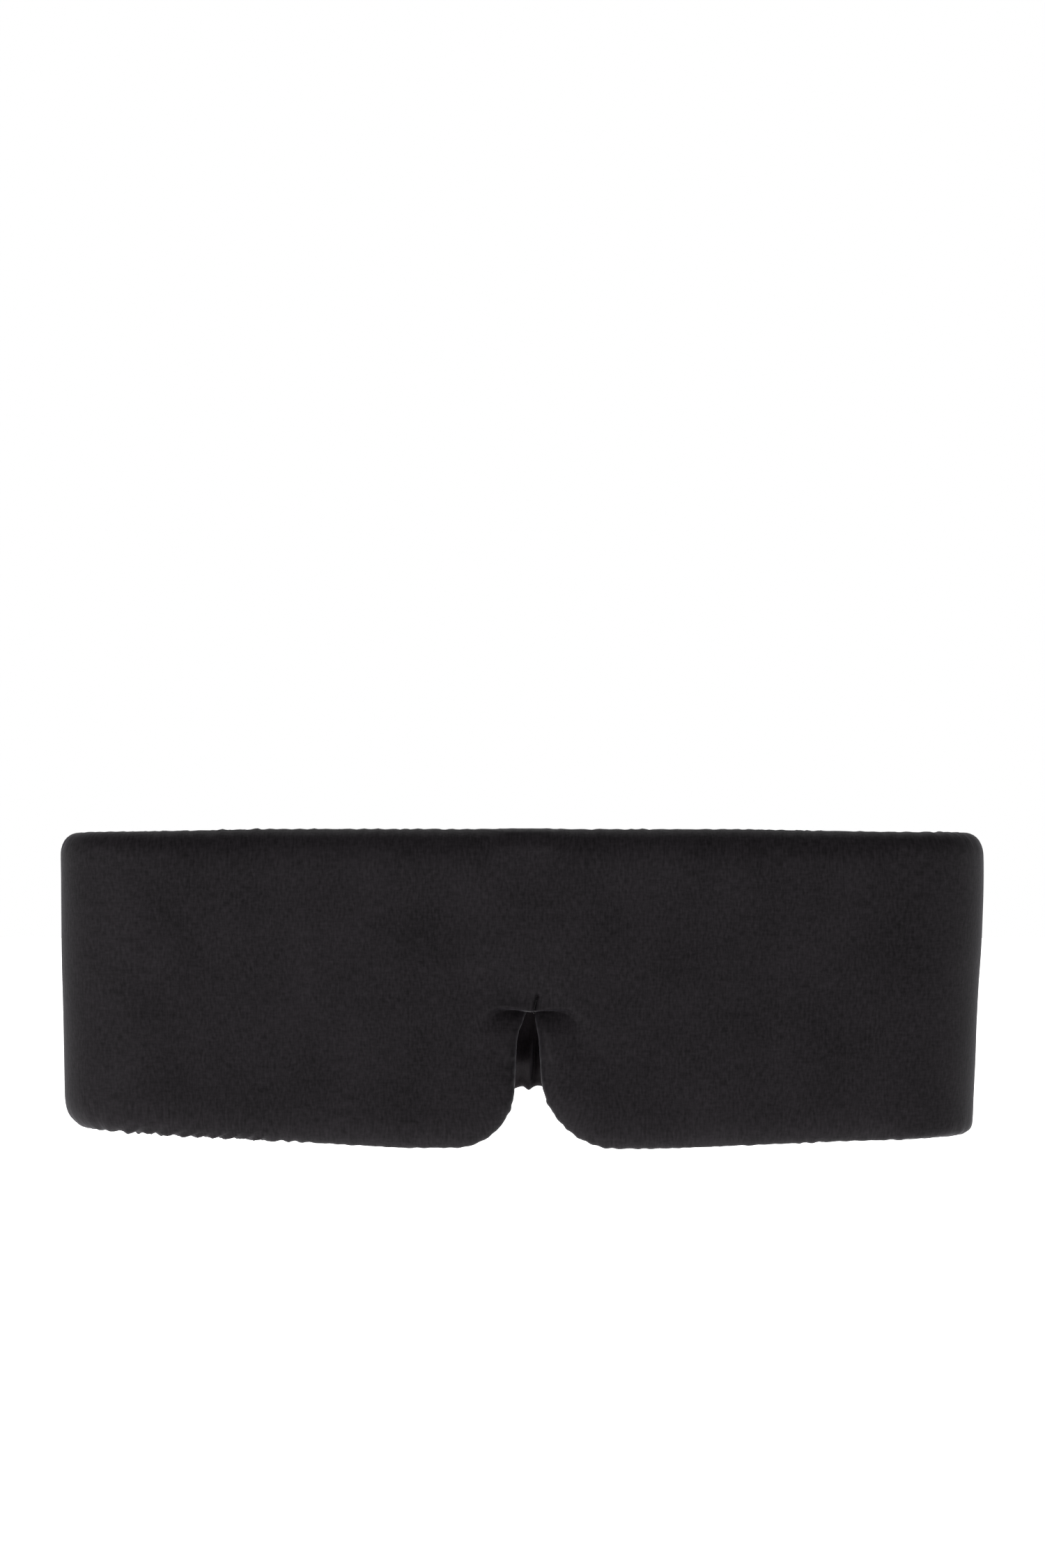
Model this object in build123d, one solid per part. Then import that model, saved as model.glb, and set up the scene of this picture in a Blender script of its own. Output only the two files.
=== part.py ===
from build123d import *
import os
from math import ceil, sqrt

# A padded wrap-round sleep mask, fastened into a flattened loop and standing as it is worn.
# +Z is up, -Y is forward from the wearer's face, X runs along the mask.
# The origin is the middle of the space that the wearer's head goes through.

# ---- Driving dimensions, in millimetres ----
mask_width = 250.0  # across the flattened loop, bend to bend
mask_height = 87.0  # lowest point of the lobes to the top edge
pad_thickness = 12.0  # covers, blackout layer and wadding together
head_gap = 28.0  # between the front's lining and the wings' lining
front_bow_radius = 1000.0  # plan radius of the front's gentle forward bow
cover_thickness = 0.6  # silk with its backing
blackout_thickness = 0.5
fold_gap = 0.3  # between the front and each wing, where the pad folds

top_arch = 1.8  # how far the top edge drops from the middle to the ends
side_rise = 5.0  # how far the bottom edge rises from the lobes to the ends
lobe_flat_x = 40.0  # where the bottom edge starts to rise, from the notch's middle

notch_offset = 1.6  # the loop lies with its nose notch this far right of its middle
notch_half_width = 4.6  # at the top of the lobes' round corners
notch_apex_half_width = 1.7
notch_height = 37.5  # lowest point of the lobes to the notch's apex
lobe_corner_radius = 17.0

wing_length = 49.0  # flat part of each wing, bend to end
wing_end_height = 58.0
wing_corner_radius = 10.0

strap_height = 52.0
strap_drop = 3.0  # the strap's middle sits this far under the mask's middle
strap_thickness = 3.2
casing_wall = 0.8
elastic_height = 40.0
elastic_thickness = 1.2
root_hem_length = 12.0
end_hem_length = 6.0
seam_gap = 0.3  # between pieces that fold past each other

tab_length = 42.0
tab_height = 48.0
tab_cover_thickness = 0.5
stiffener_thickness = 0.9
stiffener_margin = 1.5
tape_thickness = 1.2  # hook tape and loop tape alike
tape_margin = 3.0  # from a tape's edge to the edge of what it is sewn on
tape_corner_radius = 2.0
tape_gap = 0.6  # from the loop tape's face to the hook tape's, with the loops' stitches between
tab_corner_radius = 6.0

stitch_length = 2.2
stitch_pitch = 3.2
stitch_width = 0.45
stitch_height = 0.25
stitch_inset = 1.4  # from the edge of the piece that is sewn down

tack_length = 3.4
tack_width = 0.9
tack_height = 0.5
tack_clearance = 0.6  # from the notch's apex to the tack

label_width = 14.0
label_height = 20.0
label_thickness = 0.4
label_inset = 12.0  # from the loop wing's end to the label

# ---- Sizes that follow ----
half_width = mask_width / 2
half_height = mask_height / 2
half_pad = pad_thickness / 2
bend_radius = head_gap / 2 + half_pad
bend_x = half_width - half_pad - bend_radius
bow_centre_y = sqrt((front_bow_radius - bend_radius) ** 2 - bend_x**2)
wing_end_x = bend_x - wing_length
wing_face_y = bend_radius + half_pad
beyond = 2 * pad_thickness  # how far the cutting prisms run past the mask

loop_tape_face_y = wing_face_y + tape_thickness
strap_inner_y = loop_tape_face_y + tape_gap
strap_outer_y = strap_inner_y + strap_thickness
strap_mid_y = (strap_inner_y + strap_outer_y) / 2
strap_mid_z = -strap_drop
tab_inner_y = strap_inner_y + tape_thickness

strap_start_x = -wing_end_x + seam_gap
end_hem_x = wing_end_x - end_hem_length
tab_start_x = wing_end_x + seam_gap
apex_z = -half_height + notch_height
loop_tape_length = wing_length - 2 * tape_margin
loop_tape_height = wing_end_height - 4 * tape_margin
hook_tape_length = tab_length - 2 * tape_margin
hook_tape_height = tab_height - 2 * tape_margin


# ---- Outlines and layers of the padded band ----
def loop_region(offset):
    """A prism inside the loop's plan outline, that far out from the pad's middle surface."""
    radius = bend_radius + offset
    reach = front_bow_radius - bend_radius
    join = {}
    for side in (-1, 1):
        join[side] = (side * bend_x * (1 + radius / reach), -bow_centre_y * radius / reach)
    edges = [
        Line((bend_x, radius), (-bend_x, radius)),
        ThreePointArc((-bend_x, radius), (-bend_x - radius, 0), join[-1]),
        ThreePointArc(join[-1], (0, bow_centre_y - front_bow_radius - offset), join[1]),
        ThreePointArc(join[1], (bend_x + radius, 0), (bend_x, radius)),
    ]
    plan = Plane.XY.offset(-half_height - beyond) * make_face(edges)
    return extrude(plan, amount=mask_height + 2 * beyond)


def layer(inner, outer):
    """The band between two offsets from the pad's middle surface."""
    return loop_region(outer) - loop_region(inner)


def front_outline():
    """The front seen from ahead: an arched top edge, two lobes and the nose notch between them."""
    end_x = half_width + beyond
    top_radius = (half_width**2 + top_arch**2) / (2 * top_arch)
    top_end_z = half_height - top_radius + sqrt(top_radius**2 - end_x**2)
    lobe_z = -half_height
    corner = lobe_corner_radius
    top = ThreePointArc((-end_x, top_end_z), (0, half_height), (end_x, top_end_z))
    edges = [top]
    for side in (-1, 1):
        lobe_x = notch_offset + side * lobe_flat_x
        slope = side_rise / (half_width - side * lobe_x)
        end_z = lobe_z + slope * (end_x - side * lobe_x)
        corner_x = notch_offset + side * (notch_half_width + corner)
        wall_x = notch_offset + side * notch_half_width
        apex_x = notch_offset + side * notch_apex_half_width
        mid_x = wall_x + side * corner * (1 - sqrt(0.5))
        mid_z = lobe_z + corner * (1 - sqrt(0.5))
        edges += [
            Line((side * end_x, top_end_z), (side * end_x, end_z)),
            Line((side * end_x, end_z), (lobe_x, lobe_z)),
            Line((lobe_x, lobe_z), (corner_x, lobe_z)),
            ThreePointArc((corner_x, lobe_z), (mid_x, mid_z), (wall_x, lobe_z + corner)),
            Line((wall_x, lobe_z + corner), (apex_x, apex_z - notch_apex_half_width)),
        ]
    apex_low_z = apex_z - notch_apex_half_width
    left = (notch_offset - notch_apex_half_width, apex_low_z)
    right = (notch_offset + notch_apex_half_width, apex_low_z)
    edges.append(ThreePointArc(left, (notch_offset, apex_z), right))
    return make_face(edges)


def wing_outline(side):
    """A wing seen from behind: full height at the bend, tapering to its round-cornered end."""
    outer_x = side * (half_width + beyond)
    top_z = half_height - top_arch
    low_z = -half_height + side_rise
    end_top_z = strap_mid_z + wing_end_height / 2
    end_low_z = strap_mid_z - wing_end_height / 2
    corners = [
        (outer_x, low_z),
        (side * bend_x, low_z),
        (side * wing_end_x, end_low_z),
        (side * wing_end_x, end_top_z),
        (side * bend_x, top_z),
        (outer_x, top_z),
    ]
    face = make_face(Polyline(*corners, close=True))
    end_corners = [v for v in face.vertices() if abs(v.X - side * wing_end_x) < 0.01]
    return fillet(end_corners, wing_corner_radius)


def prism(outline, inset, near_y, far_y):
    """An outline seen along Y, drawn in by inset and run from near_y to far_y."""
    face = offset(outline, amount=-inset, kind=Kind.ARC) if inset else outline
    return extrude(Plane.XZ.offset(-far_y) * face, amount=far_y - near_y)


def padded_section(name, outline, near_y, far_y):
    """The four layers of one section of the pad, as solids by node name."""
    wadding_face = half_pad - cover_thickness
    blackout_face = -half_pad + cover_thickness
    full = prism(outline, 0, near_y, far_y)
    inner = prism(outline, cover_thickness, near_y - beyond, far_y + beyond)
    inner = inner & prism(outline, 0, near_y, far_y)
    core = layer(blackout_face, wadding_face) & inner
    return {
        name + "_outer_cover": (layer(0, half_pad) & full) - core,
        name + "_wadding": layer(blackout_face + blackout_thickness, wadding_face) & inner,
        name + "_blackout_layer": layer(blackout_face, blackout_face + blackout_thickness) & inner,
        name + "_lining": (layer(-half_pad, 0) & full) - core,
    }


# ---- Flat pieces of the strap, tab and tapes ----
def slab(low, high, corner=0.0):
    """A block between two corners, with its four edges along Y rounded if corner is given."""
    middle = [(a + b) / 2 for a, b in zip(low, high)]
    block = Pos(*middle) * Box(*[b - a for a, b in zip(low, high)])
    return fillet(block.edges().filter_by(Axis.Y), corner) if corner else block


def stitch_row(start, end, face_y, outwards):
    """Thread stitches on a face at face_y, in a line from start to end, each (x, z)."""
    along = Vector(end[0] - start[0], 0, end[1] - start[1])
    count = max(1, ceil(along.length / stitch_pitch))
    lies_along_x = abs(along.X) > abs(along.Z)
    size_x, size_z = (stitch_length, stitch_width) if lies_along_x else (stitch_width, stitch_length)
    stitches = []
    for n in range(count):
        share = (n + 0.5) / count
        x = start[0] + along.X * share
        z = start[1] + along.Z * share
        y = face_y + outwards * stitch_height / 2
        stitches.append(Pos(x, y, z) * Box(size_x, stitch_height, size_z))
    return stitches


def stitch_frame(low, high, face_y, outwards):
    """Stitch rows round a rectangle whose corners are low and high, each (x, z)."""
    low_x, low_z = low[0] + stitch_inset, low[1] + stitch_inset
    high_x, high_z = high[0] - stitch_inset, high[1] - stitch_inset
    turn = stitch_length / 2 + stitch_width  # keeps the corner stitches apart
    rows = stitch_row((low_x + turn, low_z), (high_x - turn, low_z), face_y, outwards)
    rows += stitch_row((low_x + turn, high_z), (high_x - turn, high_z), face_y, outwards)
    rows += stitch_row((low_x, low_z + turn), (low_x, high_z - turn), face_y, outwards)
    rows += stitch_row((high_x, low_z + turn), (high_x, high_z - turn), face_y, outwards)
    return Compound(children=rows)


def mid_band(height):
    """Lowest and highest Z of a piece of that height on the strap's centre line."""
    return strap_mid_z - height / 2, strap_mid_z + height / 2


def strap_pieces():
    """The gathered casing, the elastic in it, and the hems that hold their ends."""
    low_z, high_z = mid_band(strap_height)
    elastic_low_z, elastic_high_z = mid_band(elastic_height)
    pocket = elastic_thickness / 2 + (strap_thickness - 2 * casing_wall - elastic_thickness) / 2
    casing_end_x = end_hem_x
    casing = slab((strap_start_x, strap_inner_y, low_z), (casing_end_x, strap_outer_y, high_z))
    casing -= slab(
        (strap_start_x, strap_mid_y - pocket, low_z + casing_wall),
        (casing_end_x, strap_mid_y + pocket, high_z - casing_wall),
    )
    elastic = slab(
        (strap_start_x, strap_mid_y - elastic_thickness / 2, elastic_low_z),
        (casing_end_x, strap_mid_y + elastic_thickness / 2, elastic_high_z),
    )
    root_x = -wing_end_x - root_hem_length
    root_low = (root_x, low_z)
    root_high = (-wing_end_x, high_z)
    return {
        "strap_casing": casing,
        "elastic_band": elastic,
        "strap_root_hem": slab((root_x, wing_face_y, low_z), (-wing_end_x, strap_outer_y, high_z)),
        "strap_root_stitches": stitch_frame(root_low, root_high, strap_outer_y, 1),
        "strap_end_hem": slab((end_hem_x, strap_inner_y, low_z), (wing_end_x, strap_outer_y, high_z)),
        "strap_end_stitches": Compound(
            children=stitch_row(
                (end_hem_x + stitch_inset, low_z + stitch_length),
                (end_hem_x + stitch_inset, high_z - stitch_length),
                strap_outer_y,
                1,
            )
        ),
    }


def tab_pieces():
    """The hook tab: a stiffened silk tab with hook tape on its inner face."""
    low_z, high_z = mid_band(tab_height)
    tab_end_x = tab_start_x + tab_length
    tab = slab((tab_start_x, tab_inner_y, low_z), (tab_end_x, strap_outer_y, high_z))
    round_edges = tab.edges().filter_by(Axis.Y).group_by(Axis.X)[-1]
    tab = fillet(round_edges, tab_corner_radius)
    inset = tab_cover_thickness + stiffener_margin
    board_mid_y = (tab_inner_y + strap_outer_y) / 2
    board = slab(
        (tab_start_x + inset, board_mid_y - stiffener_thickness / 2, low_z + inset),
        (tab_end_x - inset, board_mid_y + stiffener_thickness / 2, high_z - inset),
        tab_corner_radius - inset,
    )
    hook_low_z, hook_high_z = mid_band(hook_tape_height)
    hook_x = tab_start_x + tape_margin
    hook_end_x = hook_x + hook_tape_length
    return {
        "tab_cover": tab - board,
        "tab_stiffener": board,
        "hook_tape": slab(
            (hook_x, strap_inner_y, hook_low_z),
            (hook_end_x, tab_inner_y, hook_high_z),
            tape_corner_radius,
        ),
        "hook_tape_stitches": stitch_frame(
            (hook_x, hook_low_z), (hook_end_x, hook_high_z), strap_outer_y, 1
        ),
    }


def loop_wing_trim():
    """What is sewn on the loop wing: the loop tape outside and the care label inside it."""
    low_z, high_z = mid_band(loop_tape_height)
    tape_x = wing_end_x + tape_margin
    tape_end_x = tape_x + loop_tape_length
    label_x = wing_end_x + label_inset
    lining_y = bend_radius - half_pad
    label_low_z = strap_mid_z - wing_end_height / 2 + tape_margin
    return {
        "loop_tape": slab(
            (tape_x, wing_face_y, low_z), (tape_end_x, loop_tape_face_y, high_z), tape_corner_radius
        ),
        "loop_tape_stitches": stitch_frame(
            (tape_x, low_z), (tape_end_x, high_z), loop_tape_face_y, 1
        ),
        "care_label": slab(
            (label_x, lining_y - label_thickness, label_low_z),
            (label_x + label_width, lining_y, label_low_z + label_height),
        ),
    }


def notch_tack():
    """The thread tack above the notch's apex, on the front's outer face."""
    front_y = bow_centre_y - front_bow_radius - half_pad
    low_z = apex_z + tack_clearance
    return slab(
        (notch_offset - tack_width / 2, front_y - tack_height, low_z),
        (notch_offset + tack_width / 2, front_y, low_z + tack_length),
    )


def build_mask():
    """Every piece of the mask, by node name."""
    behind = wing_face_y + 1
    ahead = bow_centre_y - front_bow_radius - half_pad - 1
    pieces = padded_section("front", front_outline(), ahead, -fold_gap / 2)
    pieces |= padded_section("strap_wing", wing_outline(-1), fold_gap / 2, behind)
    pieces |= padded_section("loop_wing", wing_outline(1), fold_gap / 2, behind)
    pieces["notch_tack"] = notch_tack()
    pieces |= strap_pieces()
    pieces |= tab_pieces()
    pieces |= loop_wing_trim()
    return pieces


os.makedirs("parts", exist_ok=True)
for node, shape in build_mask().items():
    export_step(shape, f"parts/{node}.step")
    print(f"{node}: {len(shape.solids())} solids, {shape.volume:.0f} mm3")
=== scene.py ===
import math

import bpy
import numpy as np
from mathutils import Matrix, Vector, geometry


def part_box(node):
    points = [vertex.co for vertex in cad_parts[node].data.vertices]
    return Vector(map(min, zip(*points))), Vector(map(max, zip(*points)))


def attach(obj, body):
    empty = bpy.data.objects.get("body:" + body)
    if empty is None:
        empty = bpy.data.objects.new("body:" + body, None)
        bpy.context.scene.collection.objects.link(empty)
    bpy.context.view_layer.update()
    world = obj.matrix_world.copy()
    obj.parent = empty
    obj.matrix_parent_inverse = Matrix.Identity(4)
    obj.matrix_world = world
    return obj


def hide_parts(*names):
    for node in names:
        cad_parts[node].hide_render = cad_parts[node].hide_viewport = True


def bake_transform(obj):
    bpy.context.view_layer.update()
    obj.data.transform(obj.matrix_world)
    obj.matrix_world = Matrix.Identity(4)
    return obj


# A padded sleep mask in black washed silk, standing as a flattened loop. Metres, +Z up, -Y forward.
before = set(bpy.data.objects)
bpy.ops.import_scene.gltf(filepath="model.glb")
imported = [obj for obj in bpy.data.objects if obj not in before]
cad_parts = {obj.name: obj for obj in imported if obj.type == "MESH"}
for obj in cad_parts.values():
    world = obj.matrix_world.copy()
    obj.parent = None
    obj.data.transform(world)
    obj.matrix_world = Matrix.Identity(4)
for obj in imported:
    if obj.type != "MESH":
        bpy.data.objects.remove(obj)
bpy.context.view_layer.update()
mm = 0.001
rng = np.random.default_rng(7)

# ---- sizes read from the frame ----
coverLow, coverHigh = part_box("front_outer_cover")
wingLow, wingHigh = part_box("loop_wing_outer_cover")
labelLow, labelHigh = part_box("care_label")
tackLow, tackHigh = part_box("notch_tack")
rootHemLow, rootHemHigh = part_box("strap_root_hem")
endHemLow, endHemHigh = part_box("strap_end_hem")
casingLow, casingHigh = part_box("strap_casing")
elasticLow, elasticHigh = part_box("elastic_band")
tabLow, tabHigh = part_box("tab_cover")
loopTapeLow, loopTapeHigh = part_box("loop_tape")
hookTapeLow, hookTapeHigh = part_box("hook_tape")

halfWidth = coverHigh.x
halfHeight = coverHigh.z
halfPad = (wingHigh.y - labelHigh.y) / 2  # the label is sewn on the lining
bendRadius = wingHigh.y - halfPad  # of the pad's middle surface
bendX = halfWidth - halfPad - bendRadius
frontMidY = -coverLow.y - halfPad
# the bow's radius R from its rise m and the bends' radius r: (R - r)^2 = bendX^2 + (R - m)^2
bowRadius = (bendX**2 + frontMidY**2 - bendRadius**2) / (2 * (frontMidY - bendRadius))
bowAngle = math.asin(bendX / (bowRadius - bendRadius))
frontRun = bowRadius * bowAngle  # middle of the front to the start of a bend, along the pad
bendRun = frontRun + bendRadius * (math.pi - bowAngle)  # to the end of a bend
wingRun = bendRun + bendX - wingLow.x  # to the end of a wing
notchX = (tackLow.x + tackHigh.x) / 2
strapMidY = (elasticLow.y + elasticHigh.y) / 2
strapMidZ = (casingLow.z + casingHigh.z) / 2


# ---- camera, lights and floor ----
studio = {
    "distance": 2.5,
    "nearY": 0.010,  # the distance is measured from here, in front of the origin
    "frameHeight": 0.4237,  # of the view, at that distance
    "cameraX": 0.0002,
    "cameraZ": 0.0549,
    "floorZ": -0.32,
    "floorSize": 40.0,
    # the walls are white up to the first height, and dim to the last value by the second
    "ceiling": {"From Min": 0.12, "From Max": 0.55, "To Min": 1.0, "To Max": 0.14},
}
# name, place, size, watts
softLights = [
    ("lightAbove", (0.0, 0.60, 1.0), 0.9, 12.0),
    ("lightLeft", (-1.15, -0.85, 0.0), 0.8, 9.0),
    ("lightBelow", (0.0, -0.30, -0.30), 0.8, 0.9),
    ("lightRight", (1.25, -0.10, 0.10), 0.8, 1.0),
]


def makeStudio():
    data = bpy.data.cameras.new("camera")
    data.lens = data.sensor_width * studio["distance"] / studio["frameHeight"]
    data.clip_end = 100.0
    camera = bpy.data.objects.new("camera", data)
    camera.location = (studio["cameraX"], -studio["distance"] - studio["nearY"], studio["cameraZ"])
    camera.rotation_euler = (math.pi / 2, 0, 0)
    bpy.context.scene.collection.objects.link(camera)
    bpy.context.scene.camera = camera

    for name, place, size, watts in softLights:
        light = bpy.data.lights.new(name, "AREA")
        light.size = size
        light.energy = watts
        lamp = bpy.data.objects.new(name, light)
        lamp.location = place
        lamp.rotation_euler = (-Vector(place)).to_track_quat("-Z", "Y").to_euler()
        lamp.visible_camera = False
        bpy.context.scene.collection.objects.link(lamp)

    world = bpy.data.worlds.new("whiteStudio")
    bpy.context.scene.world = world
    world.use_nodes = True
    tree = world.node_tree
    direction = addNode(tree, "ShaderNodeTexCoord")
    parts = addNode(tree, "ShaderNodeSeparateXYZ", links={"Vector": direction.outputs["Generated"]})
    height = {"Value": parts.outputs["Z"]}
    ceiling = addNode(
        tree, "ShaderNodeMapRange", studio["ceiling"], height, interpolation_type="SMOOTHSTEP"
    )
    background = tree.nodes["Background"]
    background.inputs["Color"].default_value = (1, 1, 1, 1)
    tree.links.new(ceiling.outputs["Result"], background.inputs["Strength"])
    bpy.context.scene.view_settings.view_transform = "Standard"

    half = studio["floorSize"] / 2
    corners = np.array([(-half, -half), (half, -half), (half, half), (-half, half)])
    points = np.column_stack([corners, np.full(4, studio["floorZ"])])
    mesh = bpy.data.meshes.new("floor")
    mesh.from_pydata(points.tolist(), [], [(0, 1, 2, 3)])
    floor = bpy.data.objects.new("floor", mesh)
    bpy.context.scene.collection.objects.link(floor)
    floor.data.materials.append(paperWhite())


# ---- materials ----
def linear(code):
    # sRGB hex to linear: c/12.92 below 0.04045, else ((c + 0.055) / 1.055) ^ 2.4
    parts = [int(code[i : i + 2], 16) / 255 for i in (1, 3, 5)]
    return (*[c / 12.92 if c <= 0.04045 else ((c + 0.055) / 1.055) ** 2.4 for c in parts], 1.0)


def addNode(tree, kind, values=None, links=None, **settings):
    made = tree.nodes.new(kind)
    for name, value in settings.items():
        setattr(made, name, value)
    for socket, value in (values or {}).items():
        made.inputs[socket].default_value = value
    for socket, source in (links or {}).items():
        tree.links.new(source, made.inputs[socket])
    return made


def startMaterial(name, values):
    material = bpy.data.materials.new(name)
    material.use_nodes = True
    shader = material.node_tree.nodes["Principled BSDF"]
    for socket, value in values.items():
        shader.inputs[socket].default_value = value
    return material, material.node_tree, shader


def noiseAt(tree, coordinates, sizes, detail=1.0):
    # noise with one lump per given size along each axis
    scale = {"Scale": tuple(1 / size for size in sizes)}
    stretched = addNode(tree, "ShaderNodeMapping", scale, {"Vector": coordinates})
    settings = {"Scale": 1.0, "Detail": detail}
    noise = addNode(tree, "ShaderNodeTexNoise", settings, {"Vector": stretched.outputs[0]})
    return noise.outputs["Fac"]


def surfaced(tree, shader, tone, middle, reach, code, depth, relief, height):
    # The base colour goes from code darkened by depth to code lightened by depth, as the tone
    # goes from middle - reach to middle + reach. The relief is that height, in metres.
    span = {"From Min": middle - reach, "From Max": middle + reach}
    spread = addNode(tree, "ShaderNodeMapRange", span, {"Value": tone})
    ramp = addNode(tree, "ShaderNodeValToRGB", links={"Fac": spread.outputs["Result"]})
    base = np.array(linear(code))[:3]
    for element, share in zip(ramp.color_ramp.elements, (1 - depth, 1 + depth)):
        element.color = (*(base * share), 1)
    tree.links.new(ramp.outputs["Color"], shader.inputs["Base Color"])
    bump = addNode(tree, "ShaderNodeBump", {"Strength": 1.0, "Distance": height}, {"Height": relief})
    tree.links.new(bump.outputs["Normal"], shader.inputs["Normal"])


def paperWhite():
    # seamless paper, lit until it is plain white
    material, tree, shader = startMaterial(
        "paperWhite", {"Base Color": linear("#ffffff"), "Roughness": 1.0, "Specular IOR Level": 0.0}
    )
    shader.inputs["Emission Color"].default_value = linear("#ffffff")
    shader.inputs["Emission Strength"].default_value = 1.5
    return material


def silkCloth(name, code, slub, sheen, roughness, relief):
    # Woven silk, washed: matt, with upright slubs 0.6 mm wide and 2 mm long, and a soft sheen
    # where it turns away. The weave is too fine to show, so its weft is drawn 0.6 mm apart.
    material, tree, shader = startMaterial(
        name,
        {
            "Roughness": roughness,
            "Specular IOR Level": 0.05,
            "Sheen Weight": sheen,
            "Sheen Roughness": 0.35,
            "Sheen Tint": linear("#cbc6d4"),
        },
    )
    place = addNode(tree, "ShaderNodeUVMap", uv_map="cloth").outputs["UV"]
    slubs = noiseAt(tree, place, (0.6 * mm, 2.0 * mm, 1), 2.0)
    weft = noiseAt(tree, place, (1.7 * mm, 0.6 * mm, 1))
    washed = noiseAt(tree, place, (16 * mm, 20 * mm, 1), 3.0)
    grain = addNode(tree, "ShaderNodeMath", {1: 0.5}, {0: weft, 2: slubs}, operation="MULTIPLY_ADD")
    both = {0: washed, 2: grain.outputs[0]}
    tone = addNode(tree, "ShaderNodeMath", {1: 0.5}, both, operation="MULTIPLY_ADD")
    surfaced(tree, shader, tone.outputs[0], 1.0, 0.30, code, slub, grain.outputs[0], relief)
    return material


def sewingThread():
    # spun polyester, slightly lustrous; its twist is drawn 0.7 mm apart
    look = {"Roughness": 0.5, "Specular IOR Level": 0.2, "Sheen Weight": 0.05}
    material, tree, shader = startMaterial("threadBlack", look)
    place = {"Vector": addNode(tree, "ShaderNodeTexCoord").outputs["Object"]}
    settings = {"Scale": 1 / (1.9 * mm), "Distortion": 1.5, "Detail": 1.0}
    wave = addNode(tree, "ShaderNodeTexWave", settings, place, bands_direction="DIAGONAL")
    twist = wave.outputs["Fac"]
    surfaced(tree, shader, twist, 0.5, 0.5, "#161516", 0.35, twist, 0.05 * mm)
    return material


def knittedElastic():
    # knitted elastic webbing: ribs 1.2 mm apart along its length, courses 0.6 mm apart across it
    look = {"Roughness": 0.75, "Specular IOR Level": 0.25, "Sheen Weight": 0.15}
    material, tree, shader = startMaterial("elasticKnitBlack", look)
    place = {"Vector": addNode(tree, "ShaderNodeUVMap", uv_map="cloth").outputs["UV"]}
    ribs, courses = (
        addNode(
            tree,
            "ShaderNodeTexWave",
            {"Scale": math.pi / (10 * spacing), "Distortion": 0.4},
            place,
            bands_direction=direction,
        ).outputs["Fac"]
        for direction, spacing in (("Y", 1.2 * mm), ("X", 0.6 * mm))
    )
    both = {0: courses, 2: ribs}
    knit = addNode(tree, "ShaderNodeMath", {1: 0.7}, both, operation="MULTIPLY_ADD").outputs[0]
    surfaced(tree, shader, knit, 0.85, 0.6, "#222023", 0.45, knit, 0.15 * mm)
    return material


def mouldedNylon(name, code, roughness, grit):
    # nylon yarn or moulding, with an uneven surface of that grit
    look = {"Roughness": roughness, "IOR": 1.53, "Specular IOR Level": 0.22, "Sheen Weight": 0.04}
    material, tree, shader = startMaterial(name, look)
    place = addNode(tree, "ShaderNodeTexCoord").outputs["Object"]
    fine, broad = (noiseAt(tree, place, (size, size, size), 2.0) for size in (grit, 7 * mm))
    both = {0: broad, 2: fine}
    tone = addNode(tree, "ShaderNodeMath", {1: 0.6}, both, operation="MULTIPLY_ADD").outputs[0]
    surfaced(tree, shader, tone, 0.8, 0.3, code, 0.4, fine, grit * 0.3)
    return material


def wovenSatin():
    # satin ribbon: long floats give it a crosswise gloss
    look = {"Roughness": 0.34, "Anisotropic": 0.5, "Specular IOR Level": 0.3, "Sheen Weight": 0.05}
    material, tree, shader = startMaterial("labelSatinBlack", look)
    place = addNode(tree, "ShaderNodeUVMap", uv_map="cloth").outputs["UV"]
    floats = noiseAt(tree, place, (1.6 * mm, 0.25 * mm, 1))
    surfaced(tree, shader, floats, 0.5, 0.25, "#242225", 0.25, floats, 0.02 * mm)
    return material


def plasticSheet():
    # thin calendered polypropylene, faintly mottled
    look = {"Roughness": 0.45, "IOR": 1.49, "Specular IOR Level": 0.5}
    material, tree, shader = startMaterial("stiffenerSheetGrey", look)
    place = addNode(tree, "ShaderNodeTexCoord").outputs["Object"]
    mottle = noiseAt(tree, place, (1.5 * mm, 1.5 * mm, 1.5 * mm), 3.0)
    surfaced(tree, shader, mottle, 0.5, 0.3, "#5a5a5c", 0.12, mottle, 0.02 * mm)
    return material


# ---- shapes worked out as arrays ----
def smoothStep(x, low, high):
    t = np.clip((x - low) / (high - low), 0, 1)
    return t * t * (3 - 2 * t)


def bell(x, reach):
    return np.exp(-((x / reach) ** 2))


def softNoise(u, v):
    # Smooth random heights from -1 to 1, a lump to each unit of u and v: random values on a
    # square lattice, joined by a smoothstep each way
    lattice = rng.uniform(-1, 1, (64, 64))
    i, j = np.floor(u).astype(int), np.floor(v).astype(int)
    a = smoothStep(u - i, 0, 1)
    b = smoothStep(v - j, 0, 1)
    near = lattice[i % 64, j % 64] * (1 - a) + lattice[(i + 1) % 64, j % 64] * a
    far = lattice[i % 64, (j + 1) % 64] * (1 - a) + lattice[(i + 1) % 64, (j + 1) % 64] * a
    return near * (1 - b) + far * b


def ripple(run, spacing, longest):
    # Uneven waves along a line: crests and troughs in turn, 0.3 to 0.7 spacings apart and of
    # random height up to 1, joined by a smoothstep
    count = int(longest / spacing * 3) + 8
    knots = np.cumsum(rng.uniform(0.3, 0.7, count)) * spacing
    heights = rng.uniform(0.25, 1, count) * (-1) ** np.arange(count)
    i = np.clip(np.searchsorted(knots, run), 1, count - 1)
    t = smoothStep(run, knots[i - 1], knots[i])
    return heights[i - 1] * (1 - t) + heights[i] * t


def sidesOf(triangles):
    return np.concatenate([triangles[:, [0, 1]], triangles[:, [1, 2]], triangles[:, [2, 0]]])


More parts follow.
